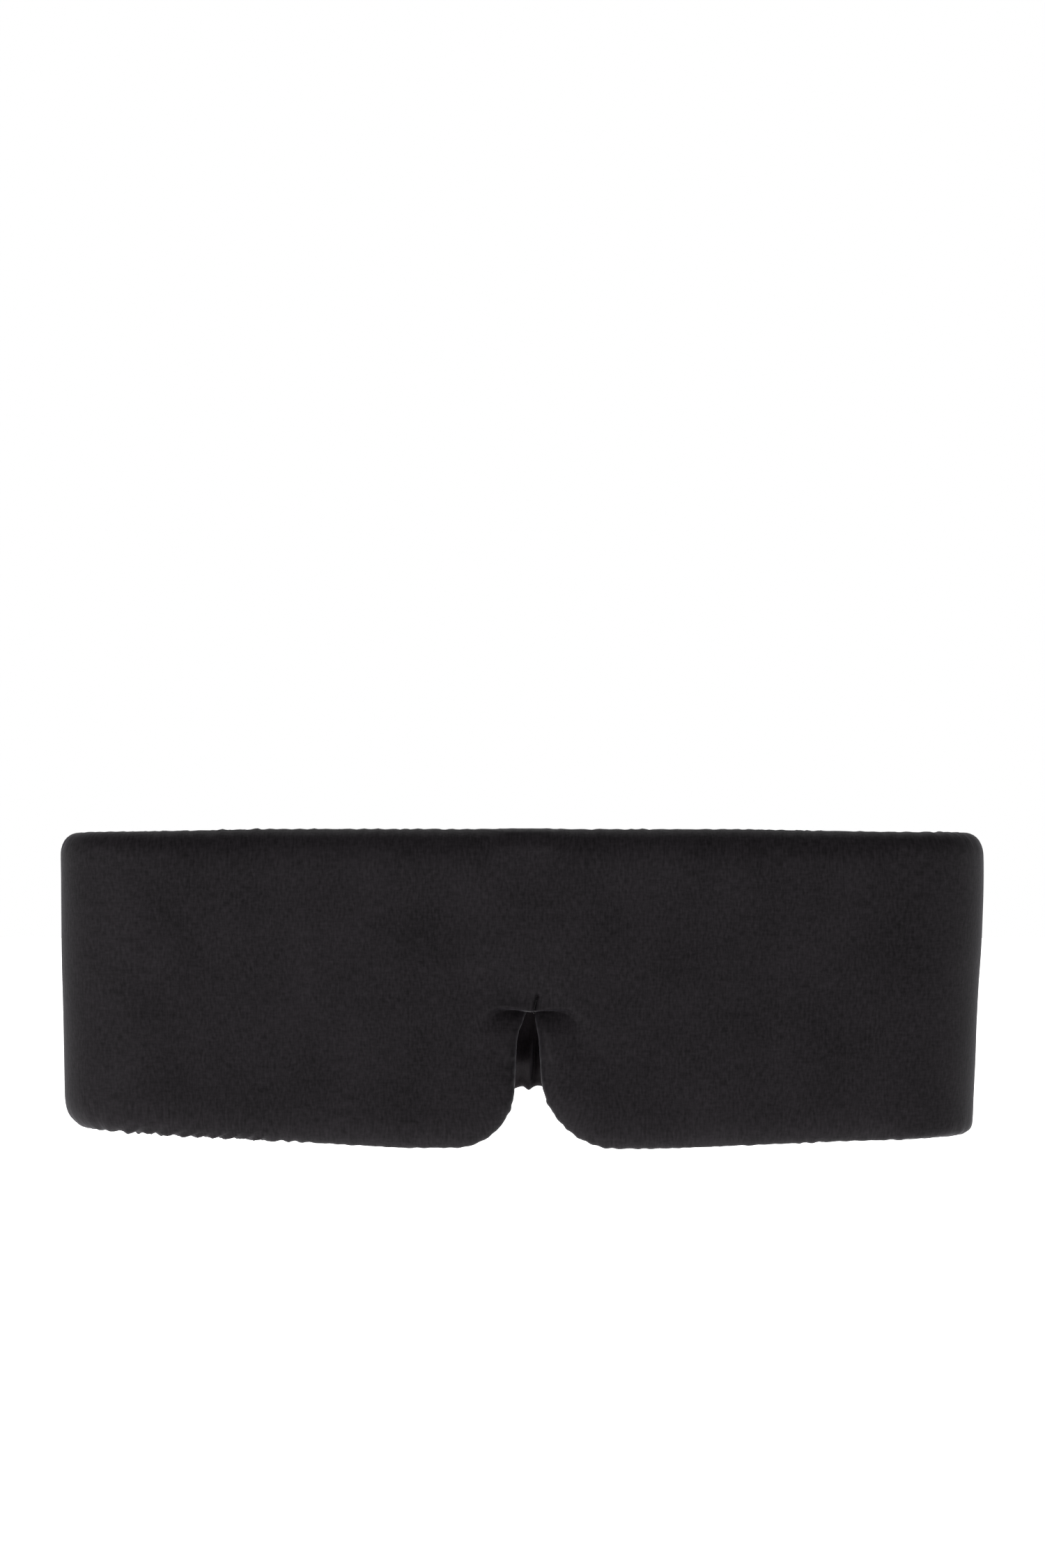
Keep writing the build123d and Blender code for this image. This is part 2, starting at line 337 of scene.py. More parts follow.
def vertexNormals(places, faces):
    a, b, c = (places[faces[:, i]] for i in range(3))
    face = np.cross(b - a, c - a)
    total = np.zeros_like(places)
    for i in range(3):
        for k in range(3):
            total[:, k] += np.bincount(faces[:, i], face[:, k], len(places))
    return total / np.maximum(np.linalg.norm(total, axis=1), 1e-12)[:, None]


def meshPiece(name, places, faceSets, material, uv=None, normals=None, faceMaterial=None):
    # faceSets is a list of arrays of triangles or quads; points that no face uses are left out
    corners = np.concatenate([f.ravel() for f in faceSets])
    used, back = np.unique(corners, return_inverse=True)
    lists = []
    start = 0
    for f in faceSets:
        lists += back[start : start + f.size].reshape(f.shape).tolist()
        start += f.size
    mesh = bpy.data.meshes.new(name)
    mesh.from_pydata(places[used].tolist(), [], lists)
    mesh.polygons.foreach_set("use_smooth", np.ones(len(lists), bool))
    if uv is not None:
        layer = mesh.uv_layers.new(name="cloth")
        layer.data.foreach_set("uv", uv[corners].astype(np.float32).ravel())
    for one in material if isinstance(material, tuple) else (material,):
        mesh.materials.append(one)
    if faceMaterial is not None:
        mesh.polygons.foreach_set("material_index", faceMaterial.astype(np.int32))
    if normals is not None:
        mesh.normals_split_custom_set_from_vertices(normals[used].tolist())
    mesh.update()
    piece = bpy.data.objects.new(name, mesh)
    bpy.context.scene.collection.objects.link(piece)
    return piece


def joined(parts):
    # several (places, faceSets) as one
    places, faceSets, count = [], [], 0
    for where, sets in parts:
        places.append(where)
        faceSets += [f + count for f in sets]
        count += len(where)
    return np.concatenate(places), faceSets


def tubes(paths, radius, plane, sides=6):
    # Many threads at once, each along a flat path of its own. A ring is the centre + radius *
    # (cos * the path's plane normal + sin * tangent x that normal); a pole closes each end.
    count, rings = paths.shape[:2]
    tangent = np.gradient(paths, axis=1)
    tangent /= np.linalg.norm(tangent, axis=2)[..., None]
    across = np.broadcast_to(plane[:, None, :], paths.shape)
    up = np.cross(tangent, across)
    angle = np.arange(sides)[:, None] * 2 * math.pi / sides
    spokes = np.cos(angle) * across[:, :, None, :] + np.sin(angle) * up[:, :, None, :]
    wide = np.broadcast_to(radius, (count, rings))
    ringed = paths[:, :, None, :] + wide[..., None, None] * spokes
    starts = paths[:, 0] - tangent[:, 0] * wide[:, :1]
    ends = paths[:, -1] + tangent[:, -1] * wide[:, -1:]
    k = np.arange(count * rings * sides).reshape(count, rings, sides)
    turned = np.roll(k, -1, 2)
    quads = np.stack([k[:, :-1], turned[:, :-1], turned[:, 1:], k[:, 1:]], -1).reshape(-1, 4)
    poles = k.size + np.arange(2 * count).reshape(2, count, 1) + np.zeros((1, 1, sides), int)
    caps = [
        np.stack([poles[0], turned[:, 0], k[:, 0]], -1).reshape(-1, 3),
        np.stack([poles[1], k[:, -1], turned[:, -1]], -1).reshape(-1, 3),
    ]
    return np.concatenate([ringed.reshape(-1, 3), starts, ends]), [quads, *caps]


def edgeLines(low, high, edge, step):
    # places from low to high, closer at the ends, where a round edge needs equal angles
    turn = edge * (1 - np.cos(np.linspace(0, math.pi / 2, 5)))
    inner = np.linspace(low + edge, high - edge, max(2, math.ceil((high - low - 2 * edge) / step) + 1))
    return np.concatenate([low + turn[:-1], inner, high - turn[-2::-1]])


def slab(low, high, corners, edge, step, outer, inner):
    # A soft flat piece facing Y: a grid drawn into a rectangle with round corners (one radius at
    # its low X end and one at its high). Its two faces, outer and inner, are each a Y or a function
    # of x, z and inset. Near the rim both go to the middle: share = sqrt(1 - (1 - inset/edge)^2).
    x, z = np.meshgrid(
        edgeLines(low[0], high[0], edge, step), edgeLines(low[1], high[1], edge, step), indexing="ij"
    )
    midX, midZ = (low[0] + high[0]) / 2, (low[1] + high[1]) / 2
    halfX, halfZ = (high[0] - low[0]) / 2, (high[1] - low[1]) / 2
    r = np.where(x < midX, corners[0], corners[1])
    px = (np.abs(x - midX) - halfX + r) / r
    pz = (np.abs(z - midZ) - halfZ + r) / r
    inCorner = (px > 0) & (pz > 0)
    draw = np.where(inCorner, np.maximum(px, pz) / np.maximum(np.hypot(px, pz), 1e-9), 1)
    inset = np.minimum(halfX - np.abs(x - midX), halfZ - np.abs(z - midZ))
    x = np.where(inCorner, midX + np.sign(x - midX) * (halfX - r + px * draw * r), x)
    z = np.where(inCorner, midZ + np.sign(z - midZ) * (halfZ - r + pz * draw * r), z)
    rim = np.zeros(x.shape, bool)
    rim[[0, -1], :] = True
    rim[:, [0, -1]] = True
    share = np.sqrt(1 - (1 - np.clip(inset / edge, 0, 1)) ** 2)
    yOuter, yInner = (y(x, z, inset) if callable(y) else y + 0 * x for y in (outer, inner))
    middle = (yOuter + yInner) / 2
    k = np.arange(x.size).reshape(x.shape)
    other = np.where(rim, k, 0)
    other[~rim] = x.size + np.arange((~rim).sum())
    top = np.stack([x, middle + (yOuter - middle) * share, z], -1).reshape(-1, 3)
    under = np.stack([x, middle + (yInner - middle) * share, z], -1)[~rim]
    quads = []
    for grid, turn in ((k, 1), (other, -1)):
        quad = np.stack([grid[:-1, :-1], grid[:-1, 1:], grid[1:, 1:], grid[1:, :-1]], -1)
        quads.append(quad.reshape(-1, 4)[:, ::turn])
    return np.concatenate([top, under]), quads


# ---- the padded band: its flat pattern ----
band = {
    "step": 1.9 * mm,  # between the pattern's points
    "rimRows": (0.9 * mm, 1.9 * mm),  # rows of points along the seam
    "notchStep": 0.8 * mm,
    "notchReach": (19 * mm, -18 * mm, 5 * mm),  # the finer part: half its width, from z, to z
    "topArch": 1.9 * mm,
    "sideRise": 4.6 * mm,
    "wingEndHeight": 58.0 * mm,
    "wingCorner": 10.0 * mm,
    "splitShare": 0.06,  # of a bend, that stays with the front
    "blendY": 13.8 * mm,  # a span across the bend in Y, from minus this to plus this
}
# The notch, from its middle line, and the lobes beside it: where each wall turns, and how round.
notch = {
    "leftWall": -4.1 * mm,
    "rightWall": 4.6 * mm,
    "leftLobe": 16.5 * mm,
    "rightLobe": 21.5 * mm,
    "leftShoulder": (-2.6 * mm, -12.8 * mm),
    "rightShoulder": (2.8 * mm, -13.8 * mm),
    "shoulderRound": 15.0 * mm,
    "apex": (0.9 * mm, -3.9 * mm),
    "apexRound": 0.9 * mm,
}


def roundedPath(corners):
    # Walks round a closed list of (x, z, radius, step). Each corner becomes an arc that touches
    # its two runs at radius / tan(half its angle), and the runs between are divided evenly.
    where = np.array([c[:2] for c in corners])
    radius = np.array([c[2] for c in corners])
    before = np.roll(where, 1, 0) - where
    after = np.roll(where, -1, 0) - where
    before /= np.linalg.norm(before, axis=1)[:, None]
    after /= np.linalg.norm(after, axis=1)[:, None]
    half = np.arccos(np.clip((before * after).sum(1), -1, 1)) / 2
    reach = radius / np.tan(half)
    starts = where + before * reach[:, None]
    ends = where + after * reach[:, None]
    path = []
    for i, (_, _, r, step) in enumerate(corners):
        middle = before[i] + after[i]
        centre = where[i] + middle / np.linalg.norm(middle) * r / math.sin(half[i])
        a = starts[i] - centre
        b = ends[i] - centre
        turn = math.atan2(a[0] * b[1] - a[1] * b[0], a @ b)
        angles = np.linspace(0, turn, max(2, math.ceil(abs(turn) * r / min(step, r * 0.35)) + 1))
        c, s = np.cos(angles), np.sin(angles)
        path.append(centre + np.column_stack([a[0] * c - a[1] * s, a[0] * s + a[1] * c]))
        run = starts[(i + 1) % len(corners)] - ends[i]
        parts = max(1, round(np.linalg.norm(run) / step))
        path.append(ends[i] + run * (np.arange(1, parts) / parts)[:, None])
    return np.concatenate(path)


def bandOutline():
    top = halfHeight
    low = -halfHeight
    sideTop = top - band["topArch"]
    sideLow = low + band["sideRise"]
    endTop = strapMidZ + band["wingEndHeight"] / 2
    endLow = strapMidZ - band["wingEndHeight"] / 2
    n = notch
    r, step, fine = band["wingCorner"], band["step"], band["notchStep"]
    corners = [
        (-wingRun, endTop, r, step),
        (-bendRun - 4 * mm, sideTop - 0.5 * mm, 70 * mm, step),
        (-70 * mm, top - 0.2 * mm, 400 * mm, step),
        (60 * mm, top - 0.3 * mm, 300 * mm, step),
        (bendRun + 4 * mm, sideTop - 0.4 * mm, 70 * mm, step),
        (wingRun, endTop, r, step),
        (wingRun, endLow, r, step),
        (bendRun, sideLow, 60 * mm, step),
        (frontRun + 12 * mm, sideLow - 1.8 * mm, 150 * mm, step),
        (notchX + 38 * mm, low, 90 * mm, step),
        (notchX + n["rightWall"], low, n["rightLobe"], fine),
        (notchX + n["rightShoulder"][0], n["rightShoulder"][1], n["shoulderRound"], fine),
        (notchX + n["apex"][0], n["apex"][1], n["apexRound"], fine),
        (notchX + n["leftShoulder"][0], n["leftShoulder"][1], n["shoulderRound"], fine),
        (notchX + n["leftWall"], low + 0.4 * mm, n["leftLobe"], fine),
        (notchX - 34 * mm, low + 0.2 * mm, 90 * mm, step),
        (-frontRun - 6 * mm, sideLow - 0.3 * mm, 90 * mm, step),
        (-bendRun, sideLow + 2.4 * mm, 60 * mm, step),
        (-wingRun, endLow, r, step),
    ]
    return roundedPath(corners)


def nearestOutline(points, outline):
    # For each point: its distance to the closed outline, how far along the outline that is, and
    # the way in from there, which turns evenly between the outline's own points
    ab = np.roll(outline, -1, 0) - outline
    length = np.linalg.norm(ab, axis=1)
    along = ab / length[:, None]
    sideways = np.column_stack([-along[:, 1], along[:, 0]])
    if (outline[:, 0] * ab[:, 1] - outline[:, 1] * ab[:, 0]).sum() < 0:
        sideways = -sideways
    inward = sideways + np.roll(sideways, 1, 0)
    runs = np.concatenate([[0], np.cumsum(length)[:-1]])
    distance, run, way = [], [], []
    for part in np.array_split(points, max(1, len(points) // 1500)):
        ap = part[:, None, :] - outline[None]
        t = np.clip((ap * ab).sum(2) / length**2, 0, 1)
        gap = np.sqrt(((ap - t[..., None] * ab) ** 2).sum(2))
        i = gap.argmin(1)
        row = np.arange(len(part))
        share = t[row, i][:, None]
        distance.append(gap[row, i])
        run.append(runs[i] + share[:, 0] * length[i])
        way.append(inward[i] * (1 - share) + inward[(i + 1) % len(outline)] * share)
    way = np.concatenate(way)
    way /= np.linalg.norm(way, axis=1)[:, None]
    return np.concatenate(distance), np.concatenate(run), way


def insideOutline(points, outline):
    # even-odd rule: count the runs that a ray along +X crosses
    x, z = points[:, 0], points[:, 1]
    odd = np.zeros(len(points), bool)
    for (x0, z0), (x1, z1) in zip(outline, np.roll(outline, -1, 0)):
        if z0 != z1:
            crosses = (z0 > z) != (z1 > z)
            odd ^= crosses & (x < x0 + (z - z0) * (x1 - x0) / (z1 - z0))
    return odd


def crossings(outline, s):
    # lowest and highest Z where the outline passes a given place along the band
    a, b = outline, np.roll(outline, -1, 0)
    hit = ((a[:, 0] - s) * (b[:, 0] - s) <= 0) & (a[:, 0] != b[:, 0])
    t = (s - a[hit, 0]) / (b[hit, 0] - a[hit, 0])
    z = a[hit, 1] + t * (b[hit, 1] - a[hit, 1])
    return z.min(), z.max()


def hexagonal(low, high, step):
    # a grid of equal triangles between two corners, a little uneven
    rows = np.arange(low[1], high[1], step * math.sqrt(0.75))
    x = np.arange(low[0], high[0], step)[None, :] + (np.arange(len(rows)) % 2)[:, None] * step / 2
    z = np.broadcast_to(rows[:, None], x.shape)
    grid = np.column_stack([x.ravel(), z.ravel()])
    return grid + rng.normal(0, 0.05 * step, grid.shape)


def nearNotch(points, margin=0.0):
    reach, lowZ, highZ = band["notchReach"]
    x, z = points[:, 0] - notchX - notch["apex"][0], points[:, 1]
    return (np.abs(x) < reach + margin) & (z > lowZ - margin) & (z < highZ + margin)


def flatPattern():
    # The outline, rows beside it, a line at each split, and a grid that is finer at the notch
    step, fine, rows = band["step"], band["notchStep"], band["rimRows"]
    outline = bandOutline()
    split = frontRun + band["splitShare"] * (bendRun - frontRun)
    _, _, inward = nearestOutline(outline, outline)
    rims = np.concatenate([outline + inward * row for row in rows])
    rims = rims[~nearNotch(rims)]
    coarse = hexagonal((-wingRun, -halfHeight), (wingRun, halfHeight), step)
    coarse = coarse[insideOutline(coarse, outline) & ~nearNotch(coarse, step / 2)]
    coarse = coarse[nearestOutline(coarse, outline)[0] > rows[1] + 0.6 * step]
    reach, lowZ, highZ = band["notchReach"]
    middle = notchX + notch["apex"][0]
    dense = hexagonal((middle - reach, lowZ), (middle + reach, highZ), fine)
    dense = dense[insideOutline(dense, outline)]
    dense = dense[nearestOutline(dense, outline)[0] > 0.55 * fine]
    inner = np.concatenate([rims, coarse, dense])
    inner = inner[np.abs(np.abs(inner[:, 0]) - split) > 0.5 * step]
    points = [outline]
    edges = [np.column_stack([np.arange(len(outline)), np.roll(np.arange(len(outline)), -1)])]
    count = len(outline)
    for side in (-1, 1):
        lowEnd, highEnd = crossings(outline, side * split)
        between = np.linspace(lowEnd + rows[1], highEnd - rows[1], round((highEnd - lowEnd) / step))
        z = np.concatenate([[lowEnd, lowEnd + rows[0]], between, [highEnd - rows[0], highEnd]])
        points.append(np.column_stack([np.full(len(z), side * split), z]))
        edges.append(np.column_stack([np.arange(len(z) - 1), np.arange(1, len(z))]) + count)
        count += len(z)
    points.append(inner)
    for _ in range(2):
        corners = [Vector(p) for p in np.concatenate(points).tolist()]
        made = geometry.delaunay_2d_cdt(corners, np.concatenate(edges).tolist(), [], 1, 1e-6)
        flat = np.array([tuple(p) for p in made[0]])
        triangles = np.array([f for f in made[2] if len(f) == 3])
        # an inside edge between two points of the outline would join the cover to the lining
        onRim = nearestOutline(flat, outline)[0] < 1e-5
        pairs, uses = np.unique(np.sort(sidesOf(triangles), axis=1), axis=0, return_counts=True)
        bridges = pairs[onRim[pairs].all(axis=1) & (uses == 2)]
        points.append(flat[bridges].mean(axis=1))
    return flat, triangles[~onRim[triangles].all(axis=1)], outline, split


# ---- the padded band: rolled up and filled ----
roll = {
    "front": 7.5 * mm,  # how far in from the seam the filled edge is round
    "top": 10.5 * mm,
    "topCorner": 5.0 * mm,
    "lowLeftCorner": 7.5 * mm,
    "lowRightCorner": 1.7 * mm,
    "wing": 6.0 * mm,
    "slit": 3.4 * mm,
    "apex": 0.9 * mm,
    "squareness": 2.2,  # 2 is an ellipse
    "groove": 0.55 * mm,  # the seam lies this deep, less where the edge is sharp
    "grooveWidth": 0.7 * mm,
    "seamOut": 2.6 * mm,  # how far the wings' end seams are drawn to the outside
    "seamOutRun": 16.0 * mm,
    "pinch": 0.22,  # share of the pad's thickness lost at the notch's apex
    "pinchReach": 9.0 * mm,
}
lean = {"left": 1.5 * mm, "right": 2.9 * mm, "fromZ": 30 * mm, "toZ": -40 * mm}


def rollRun(s, z):
    # how far in the edge is round, at each place
    end = smoothStep(np.abs(s), frontRun - 14 * mm, frontRun + 8 * mm)
    corner = np.where(s < 0, roll["lowLeftCorner"], roll["lowRightCorner"])
    corner = corner + (roll["topCorner"] - corner) * smoothStep(z, -10 * mm, 10 * mm)
    middle = roll["front"] + (roll["top"] - roll["front"]) * smoothStep(z, 0, 20 * mm)
    run = middle + (corner - middle) * end
    run += (roll["wing"] - run) * smoothStep(np.abs(s), bendRun - 25 * mm, bendRun)
    slit = smoothStep(-np.abs(s - notchX), -12 * mm, -6 * mm) * smoothStep(z, -40 * mm, -28 * mm)
    run += (roll["slit"] - run) * slit
    away = np.hypot(s - notchX - notch["apex"][0], z - notch["apex"][1])
    return run + (roll["apex"] - run) * bell(away, 3.5 * mm)


def rolledEdge(depth, run):
    # Over the round edge the cloth turns evenly: at an angle a, from 0 at the seam to 90 degrees,
    # it is run * (1 - cos(a)^p) in from the rim, and sin(a)^p of the pad's half thickness up
    angle = np.clip(depth / run, 0, 1) * math.pi / 2
    power = 2 / roll["squareness"]
    inset = np.where(depth < run, run * (1 - np.cos(angle) ** power), depth)
    groove = roll["groove"] * np.clip(run / roll["front"], 0, 1)
    inset = inset + groove * bell(depth, roll["grooveWidth"])
    return inset, np.sin(angle) ** power


def rolledUp(s, out, z):
    # A place s along the band, out from its middle surface and z up, on the loop's plan:
    # the bowed front, then a bend of nearly half a turn, then a straight wing.
    a, side = np.abs(s), np.where(s < 0, -1.0, 1.0)
    phi = np.minimum(a, frontRun) / bowRadius
    x = (bowRadius + out) * np.sin(phi)
    y = (bowRadius - frontMidY) - (bowRadius + out) * np.cos(phi)
    theta = -math.pi / 2 + bowAngle + (np.clip(a, frontRun, bendRun) - frontRun) / bendRadius
    bent = a > frontRun
    x = np.where(bent, bendX + (bendRadius + out) * np.cos(theta), x)
    y = np.where(bent, (bendRadius + out) * np.sin(theta), y)
    wing = a > bendRun
    x = np.where(wing, bendX - (a - bendRun), x)
    y = np.where(wing, bendRadius + out, y)
    down = smoothStep(-z, -lean["fromZ"], -lean["toZ"])
    onFront = 1 - smoothStep(a, bendRun - 20 * mm, bendRun)
    x = x * (1 - down * onFront * np.where(s < 0, lean["left"], lean["right"]) / halfWidth)
    return np.column_stack([x * side, y, z])


def seamShift(s):
    return roll["seamOut"] * smoothStep(np.abs(s), wingRun - roll["seamOutRun"], wingRun - 2 * mm)


def fillBand():
    flat, triangles, outline, split = flatPattern()
    depth, run, inward = nearestOutline(flat, outline)
    onSeam = depth < 1e-5
    inset, share = rolledEdge(depth, rollRun(flat[:, 0], flat[:, 1]))
    moved = flat + inward * (inset - depth)[:, None]
    away = np.hypot(flat[:, 0] - notchX - notch["apex"][0], flat[:, 1] - notch["apex"][1])
    thick = halfPad * (1 - roll["pinch"] * bell(away, roll["pinchReach"]))
    shift = seamShift(flat[:, 0])
    outer = shift + (thick - shift) * share
    inner = shift - (thick + shift) * share
    count = len(flat)
    lone = ~onSeam  # points of the lining that the cover doesn't share
    liningIndex = np.arange(count)
    liningIndex[lone] = count + np.arange(lone.sum())
    onCover = rolledUp(moved[:, 0], outer, moved[:, 1])
    places = np.concatenate([onCover, rolledUp(moved[lone, 0], inner[lone], moved[lone, 1])])
    faces = np.concatenate([triangles, liningIndex[triangles][:, ::-1]])
    a, b, c = (places[faces[:, i]] for i in range(3))
    if (a * np.cross(b, c)).sum() < 0:  # inside out
        faces = faces[:, ::-1]
    both = [np.concatenate([v, v[lone]]) for v in (flat[:, 0], flat[:, 1], depth, run)]
    return {
        "places": places,
        "s": both[0],
        "z": both[1],
        "depth": both[2],
        "run": both[3],
        "seam": np.concatenate([onSeam, np.zeros(lone.sum(), bool)]),
        "cover": np.concatenate([np.ones(count), np.zeros(lone.sum())]),
        "faces": faces,
        "faceCover": np.repeat([True, False], len(triangles)),
        "split": split,
    }


# ---- the padded band: settled as cloth ----
cloth = {
    "scale": 10.0,  # it settles ten times life size, where the solver's own sizes fit
    "frames": 20,
    "pressure": 90.0,
    "tension": 20.0,
    "compression": 12.0,
    "bending": 1.5,
    "mass": 0.05,
    "hold": 0.55,  # how strongly a free point is drawn to where it started
    "liningHold": 0.42,
    "spare": 0.22,  # extra cloth in the linings' bends, which are rolled to the inside
    "coverLimit": 1.2 * mm,  # how far a point may go
    "liningLimit": 3.0 * mm,
}


def paintGroup(piece, name, weight, levels=40):
    group = piece.vertex_groups.new(name=name)
    rounded = np.round(weight * levels).astype(int)
    for level in np.unique(rounded):
        group.add(np.flatnonzero(rounded == level).tolist(), level / levels, "REPLACE")


def within(places, low, high, margin):
    # 1 inside a box seen along Y, fading to 0 over a margin round it
    x, z = places[:, 0], places[:, 2]
    gap = np.maximum.reduce([low.x - x, x - high.x, low.z - z, z - high.z])
    return 1 - smoothStep(gap, 0, margin)


def settleBand(made):
    places = made["places"]
    onCover = made["cover"] > 0.5
    hold = np.where(onCover, cloth["hold"], cloth["liningHold"])
    # what is sewn on the covers, and on a lining, holds them still
    for low, high, side in (
        (loopTapeLow, loopTapeHigh, True),
        (rootHemLow, rootHemHigh, True),
        (labelLow, labelHigh, False),
    ):
        sewn = within(places, low, high, 5 * mm) * (places[:, 1] > 0) * (onCover == side)
        hold = np.maximum(hold, sewn)
    hold = np.where(made["seam"], 1, hold)
    away = np.hypot(made["s"] - notchX, made["z"] - notch["apex"][1])
    hold = np.maximum(hold, 0.9 * smoothStep(-away, -22 * mm, -12 * mm))
    bend = smoothStep(np.abs(made["s"]), frontRun - 4 * mm, frontRun + 6 * mm)
    bend = bend * (1 - smoothStep(np.abs(made["s"]), bendRun - 6 * mm, bendRun + 4 * mm))
    spare = bend * (made["cover"] < 0.5) * smoothStep(made["depth"], 0, 6 * mm)

    mesh = bpy.data.meshes.new("settling")
    mesh.from_pydata((places * cloth["scale"]).tolist(), [], made["faces"].tolist())
    piece = bpy.data.objects.new("settling", mesh)
    bpy.context.scene.collection.objects.link(piece)
    paintGroup(piece, "hold", hold)
    paintGroup(piece, "spare", spare)
    modifier = piece.modifiers.new("cloth", "CLOTH")
    s = modifier.settings
    s.quality = 5
    s.mass = cloth["mass"]
    s.tension_stiffness = cloth["tension"]
    s.compression_stiffness = cloth["compression"]
    s.bending_stiffness = cloth["bending"]
    s.use_pressure = True
    s.uniform_pressure_force = cloth["pressure"]
    s.vertex_group_mass = "hold"
    s.pin_stiffness = 1.0
    s.vertex_group_shrink = "spare"
    s.shrink_min = 0.0
    s.shrink_max = -cloth["spare"]
    s.effector_weights.gravity = 0
    modifier.collision_settings.use_collision = False
    modifier.point_cache.frame_start = 1
    modifier.point_cache.frame_end = cloth["frames"]
    for number in range(1, cloth["frames"] + 1):
        bpy.context.scene.frame_set(number)
    settled = piece.evaluated_get(bpy.context.evaluated_depsgraph_get()).data
    flat = np.empty(len(settled.vertices) * 3, np.float32)
    settled.vertices.foreach_get("co", flat)
    move = flat.reshape(-1, 3) / cloth["scale"] - places
    bpy.data.objects.remove(piece)
    bpy.data.meshes.remove(mesh)
    bpy.context.scene.frame_set(1)
    # a point's move m becomes limit * tanh(m / limit)
    limit = np.where(onCover, cloth["coverLimit"], cloth["liningLimit"])
    size = np.maximum(np.linalg.norm(move, axis=1), 1e-9)
    made["places"] = places + move * (limit * np.tanh(size / limit) / size)[:, None]
    print("cloth moved", round(size.mean() / mm, 2), "mm, at most", round(size.max() / mm, 2), "mm")


def refined(values, faces, sharp):
    # One round of Loop subdivision: each edge gets a middle, three eighths of its two ends and
    # an eighth of the two points across it, and each old point moves towards its neighbours.
    # Along the seam a middle is halfway, and old points follow their seam neighbours alone.
    sides = np.sort(sidesOf(faces), axis=1)
    across = np.concatenate([faces[:, 2], faces[:, 0], faces[:, 1]])
    edges, back = np.unique(sides, axis=0, return_inverse=True)
    back = back.ravel()
    columns = range(values.shape[1])
    opposite = np.column_stack([np.bincount(back, values[across, k], len(edges)) for k in columns])
    ends = values[edges[:, 0]] + values[edges[:, 1]]
    onSeam = sharp[edges[:, 0]] & sharp[edges[:, 1]]
    middle = np.where(onSeam[:, None], ends / 2, ends * 0.375 + opposite * 0.125)
    count = len(values)

    def around(which):
        a, b = edges[which, 0], edges[which, 1]
        total = [
            np.bincount(a, values[b, k], count) + np.bincount(b, values[a, k], count) for k in columns
        ]
        number = np.bincount(edges[which].ravel(), minlength=count)
        return np.column_stack(total) / np.maximum(number, 1)[:, None]

    kept = np.where(sharp, 0.25, 0.375)[:, None]
    target = np.where(sharp[:, None], around(onSeam), around(np.ones(len(edges), bool)))
    moved = values * (1 - kept) + target * kept
    m = count + back.reshape(3, -1).T
    f = faces
    corners = [np.column_stack([f[:, i], m[:, i], m[:, i - 1]]) for i in range(3)]
    newFaces = np.stack([*corners, m], axis=1).reshape(-1, 3)
    return np.concatenate([moved, middle]), newFaces


# ---- the padded band: puckers, creases and folds ----
pucker = {
    "spacing": 4.2 * mm,
    "height": 0.30 * mm,
    "reach": 3.2 * mm,
    "seamHeight": 0.13 * mm,
    "slant": 0.6,
    "lowLeft": 3.2,  # how much stronger they are at the lower left, and where, from the middle
    "lowLeftFrom": (55 * mm, 75 * mm),
    "lowLeftTo": (105 * mm, 120 * mm),
    "lowLeftDown": (20 * mm, 36 * mm),
    "lowLeftSlant": 1.1,
}
crease = {
    "drop": 4.8 * mm,  # how far the lobes lie behind the brow above the notch
    "leftReach": 16.0 * mm,
    "rightReach": 17.0 * mm,
    "leftRise": 0.6 * mm,
    "rightRise": 0.3 * mm,
    "endFall": 4.6 * mm,
    "recovery": 2.8 * mm,  # how quickly the surface comes forward again below the crease
    "sharp": 0.55 * mm,  # how round its edge is over the apex, and how much more at its ends
    "softening": 3.5 * mm,
    "lip": 0.35 * mm,
    "lipAt": 0.7 * mm,  # over the crease
    "lipReach": 0.8 * mm,
    "overhang": 1.1 * mm,
    "overhangAt": 0.5 * mm,
    "overhangReach": 1.1 * mm,
    "tackTop": (4.3 * mm, -1.9 * mm),
    "tackFoot": (3.1 * mm, -5.8 * mm),
    "tackDepth": 2.8 * mm,
    "tackWidth": 0.4 * mm,
    "dimple": 0.9 * mm,
    "dimpleReach": 5.5 * mm,
}
bendFold = {"spacing": 5.2 * mm, "depth": 1.1 * mm, "drift": 2.2 * mm}
wadding = {
    "broadHeight": 0.22 * mm,
    "smallHeight": 0.07 * mm,
    "gather": 0.16 * mm,  # the small upright gathers over the notch
    "gatherSpacing": 3.6 * mm,
    "gatherAt": (2 * mm, 1 * mm),
    "gatherReach": (7 * mm, 5 * mm),
}


